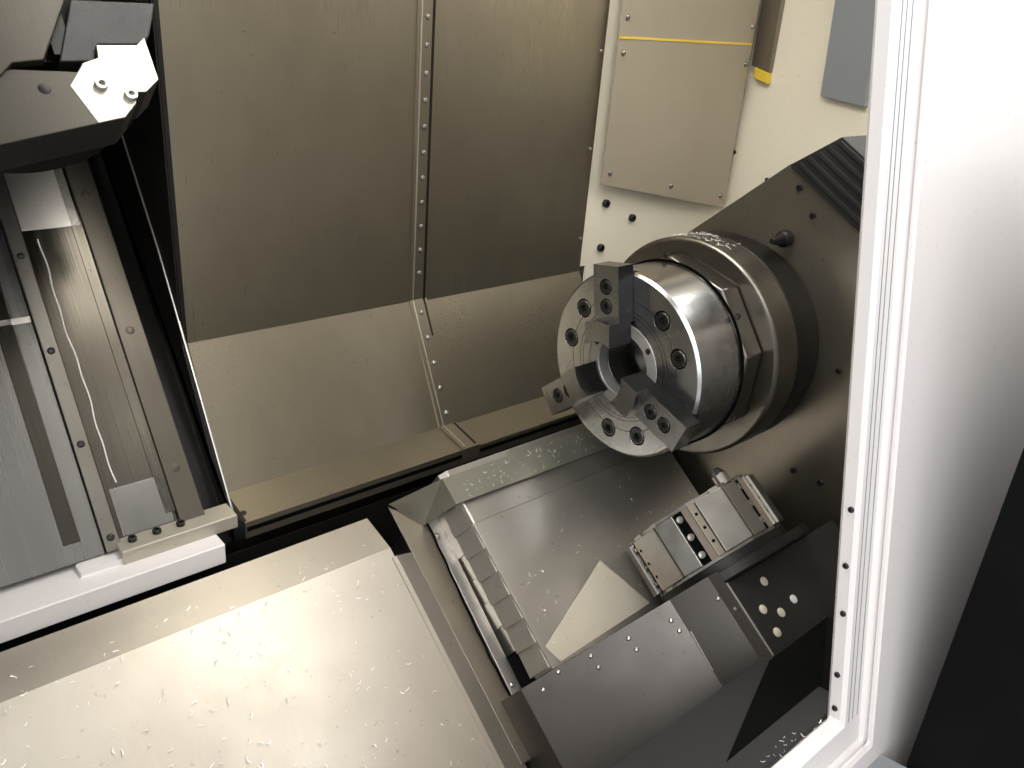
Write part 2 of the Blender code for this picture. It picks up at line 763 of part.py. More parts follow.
def foot_outline(grow=0.0):
    """Section of the headstock's foot, which sits astride the bed's ridge."""
    g = grow
    seat = -WAY_DEPTH + GAP - g
    low_a = slope_yz(0.095, seat)
    low_b = slope_yz(0.025, seat)
    ridge = (RIDGE[1] + 0.004, RIDGE_HEIGHT + 0.03 - g)
    high_a = upper_yz(-0.030 - g, seat)
    high_b = upper_yz(0.050 + g, seat)
    return [(low_a[0] - g, HEADSTOCK_FLOOR + 0.01), (low_a[0] - g, low_a[1]), low_b, ridge,
            high_a, high_b, (HEADSTOCK_BACK - 0.002, -0.110 + g), (0.060, HEADSTOCK_FLOOR + 0.03)]


def end_walls():
    """Cream walls at both ends, the right one open around the headstock."""
    left = prism("left_end_wall", wall_outline(GAP), LEFT_WALL, LEFT_WALL + CASING, ALONG_X)
    right = prism("right_end_wall", wall_outline(GAP), RIGHT_WALL, RIGHT_WALL + CASING, ALONG_X)
    hole = prism("hole", headstock_outline(WALL_HOLE_CLEAR), RIGHT_WALL - 0.1, RIGHT_WALL + 0.1, ALONG_X)
    notch = prism("notch", foot_outline(WALL_HOLE_CLEAR), RIGHT_WALL - 0.1, RIGHT_WALL + 0.1, ALONG_X)
    below = box("below", (RIGHT_WALL - 0.1, 0, WALL_FOOT - 0.1), (RIGHT_WALL + 0.1, 0.4, -0.150))
    right = cut(right, hole, notch, below)
    return finish(left, PAINT_CREAM, 0.4, 0), finish(right, PAINT_CREAM, 0.4, 0)


def rear_wall():
    """Panel behind the fixed back cover, deeper where the cover ends."""
    right = RIGHT_WALL - GAP
    top = ROOF - CASING - GAP
    step = BACK_FIXED_X[1] + 0.015
    foot = BACK_COVER[1][1] + 0.002
    outline = [(BACK_FIXED_X[0], foot), (step, foot), (step, REAR_WALL_FOOT), (right, REAR_WALL_FOOT),
               (right, top), (BACK_FIXED_X[0], top)]
    frame = placed(at(0, REAR_WALL + CASING, 0), X_AXIS, Z_AXIS)
    panel = prism("rear_wall_panel", outline, 0, CASING, frame)
    return finish(panel, PAINT_CREAM, 0.4, 0)


def wall_cover():
    """Folded plate in front of the rear wall with a slanting lower edge."""
    x0, x1 = WALL_COVER_X
    top = ROOF - CASING - GAP
    y = WALL_COVER_Y
    end = RIGHT_WALL - GAP - COVER
    low = min(WALL_COVER_FOOT)
    bends = [(x0, y), (x1, y), (end, y + WALL_COVER_FOLD * 0.6)]
    plate = sheet("wall_cover", bends, low, top, FACING_UP, COVER, -1)
    slant = (WALL_COVER_FOOT[1] - WALL_COVER_FOOT[0]) / (x1 - x0)
    edge = [(x0 - 0.1, WALL_COVER_FOOT[0] - 0.1 * slant), (x0 - 0.1, low - 0.1), (x1 + 0.1, low - 0.1),
            (x1 + 0.1, WALL_COVER_FOOT[1] + 0.1 * slant)]
    plate = cut(plate, prism("foot", edge, -0.4, 0.4, FACING_FRONT))
    low, high = WALL_COVER_SEAT
    seat = box("seat", (x0 + 0.02, y + COVER / 2, low), (x1 - 0.02, REAR_WALL - GAP, high))
    return finish(join(plate, seat), PAINT_CREAM, 0.35, 0.3)


# Way covers

def shifted(bends, shift):
    """Bends moved back and down, for a section nested behind another."""
    return [(y + shift, z - shift) for y, z in bends]


def back_covers():
    """Moving and fixed sections of the telescopic cover behind the spindles."""
    moving = sheet("back_cover_moving", BACK_COVER, *BACK_MOVING_X, ALONG_X, COVER, 1)
    rib_bends = [(y - RIB_HEIGHT * 0.7, z + RIB_HEIGHT * 0.7) for y, z in BACK_COVER]
    rib = sheet("rib", rib_bends, BACK_MOVING_X[1] - RIB_WIDTH, BACK_MOVING_X[1] + 0.001,
                ALONG_X, RIB_HEIGHT + COVER, 1)
    moving = join(moving, rib)
    fixed = sheet("back_cover_fixed", shifted(BACK_COVER, NEST), *BACK_FIXED_X, ALONG_X, COVER, 1)
    return finish(moving, STAINLESS, 0.35, 1), finish(fixed, STAINLESS, 0.35, 1)


def front_cover_bends(shift):
    """Bends of the lower front cover: lip, then the slope down to the front."""
    lip, bend = FRONT_COVER_BEND
    start = ((bend[0] * math.sin(LOWER_SLOPE) + bend[1] * math.cos(LOWER_SLOPE)) * -1)
    top = slope_yz(start, FRONT_COVER_DEPTH)
    end = slope_yz(FRONT_COVER_END, FRONT_COVER_DEPTH)
    return [(y, z - shift) for y, z in (lip, top, end)]


def front_covers():
    """Moving lower cover with its apron on the carriage, over a fixed section."""
    moving = sheet("front_cover_moving", front_cover_bends(0), *FRONT_MOVING_X, ALONG_X, COVER, 1)
    start = 0.050
    edge = FRONT_MOVING_X[1]
    step = (edge + APRON_STEP[0], FRONT_COVER_DEPTH - APRON_STEP[1])
    seat = CARRIAGE_TOP + GAP
    top = FRONT_COVER_DEPTH - 0.0005
    apron_bends = [(edge - 0.004, top), (edge + 0.001, top), step,
                   (step[0] + 0.002, seat), (X_COVER_X[0] - X_COVER_FLARE - 0.006, seat)]
    apron = sheet("apron", apron_bends, start, FRONT_COVER_END - 0.001, ALONG_S, COVER, -1)
    side = SLIDE_LEFT - 0.0025
    beside = [(side, CARRIAGE_TOP - 0.05), (side + 0.1, CARRIAGE_TOP - 0.05),
              (side + 0.1, CARRIAGE_TOP + 0.05), (side, CARRIAGE_TOP + 0.05)]
    apron = cut(apron, prism("beside", beside, SLIDE_START - SLIDE_BACK_TRAVEL - 0.003, 0.7, ALONG_S))
    moving = join(moving, apron)
    right = FRONT_MOVING_X[0] + FRONT_FIXED_LAP
    fixed = sheet("front_cover_fixed", front_cover_bends(NEST + COVER), FRONT_FIXED_LEFT + GAP, right,
                  ALONG_X, COVER, 1)
    return finish(moving, STAINLESS, 0.3, 1), finish(fixed, STAINLESS, 0.3, 1)


def gutter():
    """Channel on the bed's ridge between the two sets of covers."""
    floor = RIDGE_HEIGHT + GAP
    front, back = GUTTER_Y
    bends = [(front, floor + GUTTER_RISE), (front, floor), (back, floor), (back, floor + GUTTER_RISE)]
    channel = sheet("gutter_channel", bends, LEFT_WALL + CASING + GAP, GUTTER_RIGHT, ALONG_X, COVER, -1)
    return finish(channel, DARK_STEEL, 0.5, 0.6)


# Sub spindle

def along_spindle():
    """Frame on the spindle axis with local z along X."""
    return placed(DATUM, Y_AXIS, Z_AXIS)


def radial_frame(angle):
    """Frame with local x going out from the spindle axis and local z across."""
    outward = Y_AXIS * math.cos(angle) + Z_AXIS * math.sin(angle)
    return placed(DATUM, outward, X_AXIS)


def facing_chuck(angle, radius):
    """Frame along X at a radius and an angle on the chuck's face."""
    outward = Y_AXIS * math.cos(angle) + Z_AXIS * math.sin(angle)
    return placed(DATUM + outward * radius, Y_AXIS, Z_AXIS)


def chuck_jaw(number):
    """Jaw with a bored grip, a turned step outside it and two socket bolts."""
    angle = JAW_ANGLE + number * math.tau / 3
    low = CHUCK_FRONT - JAW_LOW
    high = CHUCK_FRONT - JAW_HIGH
    foot = CHUCK_FRONT - JAW_UNDERCUT
    face = CHUCK_FRONT - GAP
    seat = CHUCK_FRONT + JAW_SEAT - JAW_CLEAR
    inner = JAW_GRIP * 0.8
    end = CHUCK_RADIUS - CHUCK_CHAMFER
    outline = [(inner, foot), (inner, high), (JAW_OUTER, high), (JAW_OUTER, face), (end, face),
               (end, seat), (JAW_ROOT, seat), (JAW_ROOT, foot)]
    name = f"chuck_jaw_{number + 1}"
    jaw = prism(name, outline, -JAW_WIDTH / 2, JAW_WIDTH / 2, radial_frame(angle))
    axis = turn_about(along_spindle(), angle)
    grip = disc("grip", JAW_GRIP, high - 0.01, face, axis, 48)
    step = disc("step", JAW_OUTER + 0.02, high - 0.01, low, axis, 64, bore=JAW_STEP)
    jaw = cut(jaw, grip, step)
    for radius in JAW_BOLTS:
        jaw = cut(jaw, *socket_bolt_cutters(facing_chuck(angle, radius), low, -1, JAW_BOLT))
    return finish(jaw, STEEL, 0.3, 1)


def chuck_body():
    """Chuck with slots for the jaws, a bush seat and six socket bolts."""
    front = CHUCK_FRONT
    chuck = disc("chuck_body", CHUCK_RADIUS, front, front + CHUCK_LENGTH, along_spindle(), 64,
                 bore=CHUCK_BORE, chamfer=CHUCK_CHAMFER)
    seat = disc("seat", BUSH_FLANGE + GAP, front - 0.01, front + FLANGE_THICKNESS, along_spindle(), 48)
    tube = disc("tube", BUSH_TUBE + GAP, front - 0.01, front + BUSH_LENGTH + GAP, along_spindle(), 48)
    chuck = cut(chuck, seat, tube)
    half = JAW_WIDTH / 2 + JAW_CLEAR
    root = JAW_ROOT - JAW_CLEAR
    for number in range(3):
        angle = JAW_ANGLE + number * math.tau / 3
        outline = [(root, front - 0.01), (CHUCK_RADIUS + 0.01, front - 0.01),
                   (CHUCK_RADIUS + 0.01, front + JAW_SEAT), (root, front + JAW_SEAT)]
        chuck = cut(chuck, prism("slot", outline, -half, half, radial_frame(angle)))
        for side in (-1, 1):
            spot = facing_chuck(angle + math.pi / 3 + side * FACE_BOLT_SPREAD, FACE_BOLT_CIRCLE)
            chuck = cut(chuck, *socket_bolt_cutters(spot, front, -1, FACE_BOLT))
    return finish(chuck, STEEL, 0.3, 1, smooth=True)


def pilot_bush():
    """Flanged bush in the seat at the centre of the chuck."""
    front = CHUCK_FRONT
    end = front + BUSH_LENGTH
    back = front + FLANGE_THICKNESS - GAP
    profile = [(BUSH_BORE, end), (BUSH_TUBE, end), (BUSH_TUBE, back), (BUSH_FLANGE, back),
               (BUSH_FLANGE, front), (BUSH_BORE, front)]
    bush = turned("pilot_bush", profile, along_spindle(), 48)
    return finish(bush, STEEL, 0.25, 1, smooth=True)


def spindle_parts():
    """Adapter, disc, ring, shaft and clamping cylinder behind the chuck."""
    axis = along_spindle()
    x = CHUCK_FRONT + CHUCK_LENGTH + GAP
    adapter = disc("chuck_adapter", ADAPTER_RADIUS, x, x + ADAPTER_LENGTH,
                   turn_about(axis, ADAPTER_ANGLE), ADAPTER_SIDES, bore=SPINDLE_BORE, chamfer=0.002)
    x += ADAPTER_LENGTH + GAP
    plate = disc("spindle_disc", DISC_RADIUS, x, x + DISC_LENGTH, axis, 64, bore=SPINDLE_BORE, chamfer=0.003)
    x += DISC_LENGTH + GAP
    end = x + RING_LENGTH
    ring = turned("spindle_ring", [(SPINDLE_BORE, end), (RING_RADIUS - RING_TAPER, end),
                                   (RING_RADIUS, x + RING_LENGTH * 0.55), (RING_RADIUS, x),
                                   (SPINDLE_BORE, x)], axis, 64)
    x = end + GAP
    shaft = disc("spindle_shaft", SPINDLE_RADIUS, x, x + SPINDLE_LENGTH, axis, 40, bore=SPINDLE_BORE)
    x += SPINDLE_LENGTH + GAP
    cylinder = disc("clamping_cylinder", CYLINDER_RADIUS, x, x + CYLINDER_LENGTH, axis, 40,
                    bore=SPINDLE_BORE - 0.003, chamfer=0.004)
    finish(adapter, STEEL, 0.35, 1)
    finish(plate, STEEL, 0.3, 1, smooth=True)
    finish(ring, DARK_STEEL, 0.4, 0.8, smooth=True)
    finish(shaft, STEEL, 0.4, 1, smooth=True)
    finish(cylinder, STEEL, 0.4, 1, smooth=True)
    return adapter, plate, ring, shaft, cylinder


def ring_end():
    """X, from the datum, where the spindle ring ends and the headstock begins."""
    return CHUCK_FRONT + CHUCK_LENGTH + ADAPTER_LENGTH + DISC_LENGTH + RING_LENGTH + 3 * GAP


def headstock():
    """Headstock body on the bed, its front plate, bearings, wiper and nozzle."""
    front = ring_end() + GAP
    plate = prism("headstock_plate", headstock_outline(), front, front + PLATE_THICKNESS, ALONG_X)
    plate = cut(plate, disc("hole", SPINDLE_RADIUS + 0.002, 0, 1, along_spindle(), 48))
    start = front + PLATE_THICKNESS + GAP
    end = start + HEADSTOCK_LENGTH
    casting = prism("headstock_body", headstock_outline(), start, end, ALONG_X)
    foot = prism("foot", foot_outline(), start + HEADSTOCK_FOOT_START, end, ALONG_X)
    casting = join(casting, foot)
    casting = cut(casting, disc("bore", BEARING_RADIUS + GAP, 0, 1, along_spindle(), 48))
    rings = []
    for name, x in (("front_bearing", start), ("rear_bearing", end - BEARING_WIDTH)):
        ring = disc(name, BEARING_RADIUS, x, x + BEARING_WIDTH, along_spindle(), 40,
                    bore=SPINDLE_RADIUS + GAP)
        rings.append(finish(ring, STEEL, 0.35, 1, smooth=True))
    edge = Vector(headstock_outline()[1]) - Vector(HEADSTOCK_PEAK)
    edge.normalize()
    out = Vector((edge.y, -edge.x))
    near = Vector(HEADSTOCK_PEAK) + out * GAP + edge * 0.002
    far = near + edge * WIPER_LENGTH
    lean = Vector(WIPER_OFFSET)
    wiper = prism("way_wiper", [near, far, far + lean, near + lean], *WIPER_X, ALONG_X)
    spot = at(front - GAP - NOZZLE_LENGTH, *NOZZLE_PLACE)
    spot_frame = placed(spot, Y_AXIS, Z_AXIS)
    nozzle = turned("coolant_nozzle", [(0, NOZZLE_LENGTH), (NOZZLE_RADIUS * 1.4, NOZZLE_LENGTH),
                                       (NOZZLE_RADIUS * 1.4, NOZZLE_LENGTH * 0.7),
                                       (NOZZLE_RADIUS, NOZZLE_LENGTH * 0.6),
                                       (NOZZLE_RADIUS * 0.5, 0), (0, 0)], spot_frame, 12)
    finish(plate, STAINLESS, 0.35, 1)
    finish(casting, PAINT_GREY, 0.5, 0)
    finish(wiper, BLACK_PLASTIC, 0.5, 0)
    finish(nozzle, DARK_STEEL, 0.4, 0.8, smooth=True)
    return plate, casting, wiper, nozzle, rings


# Lower turret

def lower_carriage():
    """Block that runs along X on the bed's lower way."""
    seat = -WAY_DEPTH + GAP
    s0, s1 = CARRIAGE_S
    outline = [slope_yz(s1, seat), slope_yz(s0, seat), slope_yz(s0, CARRIAGE_TOP), slope_yz(s1, CARRIAGE_TOP)]
    block = prism("lower_carriage", outline, *CARRIAGE_X, ALONG_X)
    return finish(block, CAST_IRON, 0.5, 0)


def front_cutter():
    """Half space in front of the slide's vertical end."""
    return box("end", (-1, SLIDE_FRONT - 0.4, -1), (1, SLIDE_FRONT, 1))


def turret_slide():
    """Slide of the lower turret: leaning flank, shoulder and seat for the housing."""
    seat = CARRIAGE_TOP + GAP
    outline = [
        (SLIDE_LEFT, seat), (TURRET_RIGHT, seat), (TURRET_RIGHT, HOUSING_FLOOR),
        (TURRET_LEFT, HOUSING_FLOOR), (TURRET_LEFT, TURRET_TOP),
        (TURRET_LEFT - 0.017, TURRET_TOP), SLIDE_SHOULDER, (SLIDE_LEFT, SLIDE_FLANK_FOOT),
    ]
    slide = prism("turret_slide", outline, SLIDE_START, SLIDE_REACH, ALONG_S)
    x, n = TURRET_CENTRE
    centre = placed(DATUM + X_AXIS * x + N_AXIS * n, X_AXIS, N_AXIS)
    recess = disc("recess", DISC_RIM + 0.002, 0.1, DISC_S[1] + GAP, centre, 48)
    slide = cut(slide, recess, front_cutter())
    return finish(slide, STAINLESS, 0.3, 1)


def turret_housing():
    """Indexing housing with five plugs, seated on the slide."""
    floor = HOUSING_FLOOR + GAP
    left = TURRET_LEFT + GAP
    outline = [(left, floor), (TURRET_RIGHT, floor), (TURRET_RIGHT, TURRET_TOP), (left, TURRET_TOP)]
    housing = prism("turret_housing", outline, HOUSING_START, SLIDE_REACH, ALONG_S)
    housing = cut(housing, front_cutter())
    for x, s in ((-0.012, 0.268), (-0.036, 0.290), (-0.016, 0.302), (-0.037, 0.315), (0.011, 0.298)):
        spot = placed(DATUM + X_AXIS * (x + 0.03) + S_AXIS * s, S_AXIS, X_AXIS)
        plug = disc("plug", PLUG_RADIUS, TURRET_TOP - 0.002, TURRET_TOP + 0.0008, spot, 12)
        housing = join(housing, plug)
    return finish(housing, PAINT_GREY, 0.45, 0.2)


def drum_outline(radius, sides, turn):
    """Corners of a regular drum."""
    return [(radius * math.cos(turn + k * math.tau / sides), radius * math.sin(turn + k * math.tau / sides))
            for k in range(sides)]


def station_drum(name, radius, length, frame, sides):
    """Drum with a tool slot and a wedge slot across each flat."""
    outline = drum_outline(radius, sides, math.pi / sides)
    drum = prism(name, outline, 0, length, frame)
    flat = radius * math.cos(math.pi / sides)
    for k in range(sides):
        across = turn_about(frame, k * math.tau / sides)
        slot = [(flat - SLOT_DEPTH, -SLOT_WIDTH / 2), (flat + 0.02, -SLOT_WIDTH / 2),
                (flat + 0.02, SLOT_WIDTH / 2), (flat - SLOT_DEPTH, SLOT_WIDTH / 2)]
        drum = cut(drum, prism("slot", slot, -0.01, length + 0.01, across))
    return drum


def lower_turret():
    """Drum with twelve stations and a tool, in front of its rimmed disc."""
    x, n = TURRET_CENTRE
    centre = DATUM + X_AXIS * x + N_AXIS * n
    frame = placed(centre + S_AXIS * DRUM_S[0], X_AXIS, N_AXIS)
    drum = station_drum("turret_drum", DRUM_RADIUS, DRUM_S[1] - DRUM_S[0], frame, DRUM_SIDES)
    tool_frame = placed(centre + S_AXIS * (DRUM_S[0] - TOOL_LENGTH) + N_AXIS * TOOL_CIRCLE,
                        X_AXIS, N_AXIS)
    tool = turned("tool", [(0, TOOL_LENGTH + 0.002), (TOOL_RADIUS, TOOL_LENGTH + 0.002),
                           (TOOL_RADIUS, TOOL_LENGTH * 0.45), (TOOL_RADIUS * 0.4, 0), (0, 0)],
                  tool_frame, 16)
    drum = join(drum, tool)
    plate_frame = placed(centre, X_AXIS, N_AXIS)
    s0, s1 = DISC_S
    hub = DRUM_RADIUS - 0.006
    rim = turned("turret_disc", [(0, s1), (DISC_RIM - 0.002, s1), (DISC_RIM, s1 - 0.002),
                                 (DISC_RIM, s0 + DISC_STEP), (hub, s0 + DISC_STEP), (hub, s0), (0, s0)],
                 plate_frame, 64)
    return finish(drum, STEEL, 0.35, 1), finish(rim, DARK_STEEL, 0.35, 0.8, smooth=True)


def x_covers():
    """Outer cover on the slide and inner cover with its toothed side on the carriage."""
    left, right = X_COVER_X
    top = X_COVER_TOP
    skirt = [(left - X_COVER_FLARE, top - X_COVER_SKIRT), (left, top), (right, top),
             (right, top - X_COVER_SKIRT)]
    outer = sheet("x_cover_outer", skirt, X_OUTER_START, SLIDE_START - GAP, ALONG_S, 0.0015, 1)
    seat = CARRIAGE_TOP + GAP
    lower = top - X_NEST
    wall = left - 0.002
    bends = [(wall, seat), (wall, lower - 0.006), (wall + 0.008, lower), (right - 0.004, lower),
             (right - 0.004, seat)]
    inner = sheet("x_cover_inner", bends, *X_INNER_S, ALONG_S, 0.0015, 1)
    start = X_INNER_S[0] + GAP
    pitch = (X_INNER_S[1] - GAP - start) / TEETH
    comb = [(wall + 0.001, start)]
    for k in range(TEETH):
        x = wall - TOOTH_RISE * (1 + k % 3)
        comb += [(x, start + k * pitch), (x, start + (k + 1) * pitch)]
    comb.append((wall + 0.001, start + TEETH * pitch))
    edge = X_COVER_SKIRT + 0.004 - top
    teeth = prism("teeth", comb, edge, -seat - GAP, placed(DATUM, X_AXIS, S_AXIS))
    inner = join(inner, teeth)
    return finish(outer, STAINLESS, 0.35, 1), finish(inner, STAINLESS, 0.4, 1)


# Upper turret

def upper_saddle():
    """Saddle on the bed's upper way with two rails and the web of the back cover."""
    seat = -WAY_DEPTH + GAP
    face = SADDLE_FACE
    rail = face + RAIL_PROUD
    left, right = SADDLE_X
    shelf = face - SADDLE_STEP
    outline = [
        (left, seat), (WEB_X[0] + 0.001, seat), (WEB_X[0] + 0.001, shelf), (right, shelf),
        (right, rail), (right - 0.030, rail), (right - 0.030, face), (right - 0.110, face),
        (right - 0.110, rail), (right - 0.125, rail), (right - 0.125, face), (left, face),
    ]
    saddle = prism("upper_saddle", outline, -SADDLE_TOP, 0.4, ALONG_U)
    low = RIDGE_HEIGHT + 0.03
    front = box("front", (-2, -2, -2), (2, SADDLE_FRONT, 2))
    under = box("under", (-2, -2, -2), (2, 2, low))
    saddle = cut(saddle, front, under)
    top, bend, back_bend = [(y + GAP, z) for y, z in BACK_COVER[:3]]
    web_low = low + 0.02
    back_y = upper_way_y(BED_TOP) - 0.001
    web_outline = [top, bend, back_bend, (SADDLE_FRONT + 0.004, back_bend[1] - 0.004),
                   (SADDLE_FRONT + 0.004, web_low), (upper_way_y(web_low) - 0.001, web_low),
                   (back_y, BED_TOP), (back_y, top[1])]
    web = prism("web", web_outline, WEB_X[0], BACK_MOVING_X[0] - GAP, ALONG_X)
    return finish(join(saddle, web), STAINLESS, 0.3, 1)


def saddle_sill():
    """Ledge along the saddle's lower front with a clamp bar."""
    sill = box("saddle_sill", (SADDLE_X[0], SILL_Y[0], SILL_Z[0]), (SADDLE_X[1] + 0.009, SILL_Y[1], SILL_Z[1]))
    bar = box("bar", (SADDLE_X[1] - 0.12, SILL_Y[0] + 0.024, SILL_Z[1] - 0.001),
              (SADDLE_X[1] - 0.02, SILL_Y[0] + 0.040, SILL_Z[1] + 0.006))
    return finish(join(sill, bar), PAINT_WHITE, 0.35, 0)


def upper_turret():
    """Slide block and twelve-sided drum with its end disc."""
    x0, x1 = UPPER_SLIDE_X
    u0, u1 = UPPER_SLIDE_U
    floor = SADDLE_FACE + RAIL_PROUD + GAP
    outline = [(x0, floor), (x1, floor), (x1, UPPER_SLIDE_TOP - 0.03), (x1 - 0.03, UPPER_SLIDE_TOP),
               (x0 + 0.03, UPPER_SLIDE_TOP), (x0, UPPER_SLIDE_TOP - 0.03)]
    slide = prism("upper_slide", outline, -u1, -u0, ALONG_U)
    x, p = UPPER_CENTRE
    centre = DATUM + X_AXIS * x + P_AXIS * p
    frame = placed(centre + U_AXIS * UPPER_DRUM_U[1], X_AXIS, P_AXIS)
    drum = station_drum("upper_turret_drum", UPPER_DRUM_RADIUS, UPPER_DRUM_U[1] - UPPER_DRUM_U[0],
                        frame, DRUM_SIDES)
    low = UPPER_DRUM_U[0]
    plate_frame = placed(centre, X_AXIS, P_AXIS)
    plate = disc("plate", UPPER_DISC, -low - 0.001, -low + UPPER_DISC_THICKNESS, plate_frame, 48,
                 chamfer=0.003)
    return finish(slide, CAST_IRON, 0.4, 0.3), finish(join(drum, plate), DARK_STEEL, 0.35, 0.8)


# Console and lamp

def console():
    """Housing at the right of the door with its screen and controls."""
    back = LOWER_FRONT - GAP
    x0, x1 = CONSOLE_X
    z0, z1 = CONSOLE_Z
    front = FRONT_END + ESTOP_RISE
    outline = [(back, z0), (front + 0.02, z0), (front, z0 + 0.03), (front, z1 - 0.03),
               (front + 0.02, z1), (back, z1)]
    housing = prism("console_housing", outline, x0, x1, ALONG_X)
    w, h = SCREEN_SIZE
    cx, cz = SCREEN_CENTRE
    floor = front + SCREEN_DEPTH + GAP
    pocket = box("pocket", (cx - w / 2 - GAP, front - 0.1, cz - h / 2 - GAP),
                 (cx + w / 2 + GAP, floor, cz + h / 2 + GAP))
    housing = cut(housing, pocket)
    screen = box("console_screen", (cx - w / 2, front + 0.002, cz - h / 2),
                 (cx + w / 2, floor - GAP, cz + h / 2))
    low = -BUTTON_DEPTH + GAP
    pressed = low + BUTTON_TRAVEL
    r = BUTTON_RADIUS
    e = ESTOP_RADIUS
    button = [(0, BUTTON_RISE), (r - 0.001, BUTTON_RISE), (r, BUTTON_RISE - 0.001), (r, pressed), (0, pressed)]
    mushroom = [(0, ESTOP_RISE), (e * 0.7, ESTOP_RISE - 0.001), (e, ESTOP_RISE - 0.006),
                (e, ESTOP_RISE - 0.009), (r, ESTOP_RISE - 0.011), (r, pressed), (0, pressed)]
    dial = [(0, KNOB_RISE), (e * 0.85, KNOB_RISE), (e * 0.95, 0.001), (r, 0.001), (r, low), (0, low)]
    controls = (("cycle_start_button", button, GREEN), ("feed_hold_button", button, YELLOW),
                ("emergency_stop", mushroom, RED), ("override_knob", dial, BLACK_PLASTIC))
    made = []
    for (name, profile, colour), x in zip(controls, BUTTON_X):
        spot = placed(at(x, front, BUTTON_ROW), X_AXIS, Z_AXIS)
        housing = cut(housing, disc("well", r + 2 * GAP, -BUTTON_DEPTH, 0.02, spot, 24))
        made.append(finish(turned(name, profile, spot, 24), colour, 0.4, 0, smooth=True))
    finish(housing, BLACK_PLASTIC, 0.4, 0)
    finish(screen, GLASS, 0.1, 0)
    return housing, screen, made


def work_lamp():
    """Lamp with a rounded lens on the left end wall."""
    w, d, h = LAMP_SIZE
    y, z = LAMP_PLACE
    start = LEFT_WALL + CASING + GAP
    lamp = box("work_lamp", (start, y, z), (start + w, y + d, z + h))
    edge = lamp.modifiers.new("edge", "BEVEL")
    edge.width = 0.012
    edge.segments = 2
    return finish(bake(lamp), PAINT_WHITE, 0.3, 0)


def main():
    """Build every piece and hang the moving ones on their joints."""
    for old in list(bpy.data.objects):
        bpy.data.objects.remove(old)
    collection = bpy.data.collections.new("turning_lathe")
    bpy.context.scene.collection.children.link(collection)

    base_frame()
    bed_casting()
    casing()
    door_jamb()
    door_rails()
    door_sill()
    end_walls()
    rear_wall()
    wall_cover()
    gutter()
    work_lamp()
    body("drawer", at(DRAWER_CENTRE, LOWER_FRONT, FLOOR + DRAWER_FLOOR), [chip_drawer()])
    body("door", handle_point(-DOOR_TRAVEL, 0, DOOR_STANDOFF), door())

    back_moving, _ = back_covers()
    front_moving, _ = front_covers()
    slide, drum = upper_turret()
    saddle = body("saddle", at(SADDLE_X[1], 0.3, 0), [upper_saddle(), saddle_sill(), back_moving])
    upper = body("upper_x_slide", DATUM + U_AXIS * UPPER_SLIDE_U[0], [slide])
    x, p = UPPER_CENTRE
    upper_rotor = body("upper_turret_axis", DATUM + X_AXIS * x + P_AXIS * p + U_AXIS * UPPER_DRUM_U[0], [drum])
    upper.parent = saddle
    upper.matrix_parent_inverse = saddle.matrix_world.inverted()
    upper_rotor.parent = upper
    upper_rotor.matrix_parent_inverse = upper.matrix_world.inverted()

    outer, inner = x_covers()
    carriage = body("carriage", DATUM + S_AXIS * CARRIAGE_S[0] + N_AXIS * CARRIAGE_TOP,
                    [lower_carriage(), front_moving, inner])
    lower = body("lower_x_slide", DATUM + S_AXIS * SLIDE_START + N_AXIS * CARRIAGE_TOP,
                 [turret_slide(), turret_housing(), outer])
    x, n = TURRET_CENTRE
    rotor = body("lower_turret_axis", DATUM + X_AXIS * x + N_AXIS * n + S_AXIS * DISC_S[0], lower_turret())
    lower.parent = carriage
    lower.matrix_parent_inverse = carriage.matrix_world.inverted()
    rotor.parent = lower
    rotor.matrix_parent_inverse = lower.matrix_world.inverted()

    plate, casting, wiper, nozzle, rings = headstock()
    head = body("headstock", at(ring_end(), 0, 0), [plate, casting, wiper, nozzle, *rings])
    spindle = body("spindle", DATUM, [chuck_body(), pilot_bush(), *spindle_parts()])
    spindle.parent = head
    spindle.matrix_parent_inverse = head.matrix_world.inverted()
    for number in range(3):
        jaw = body(f"jaw_slide_{number + 1}", DATUM, [chuck_jaw(number)])
        jaw.parent = spindle
        jaw.matrix_parent_inverse = spindle.matrix_world.inverted()

    _, _, controls = console()
    for control in controls:
        name = control.name
        centre = sum((control.matrix_world @ Vector(corner) for corner in control.bound_box), Vector()) / 8
        body(name + "_axis", centre, [control])


main()
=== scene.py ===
import json
import math

import bmesh
import bpy
import numpy as np
from mathutils import Matrix, Vector

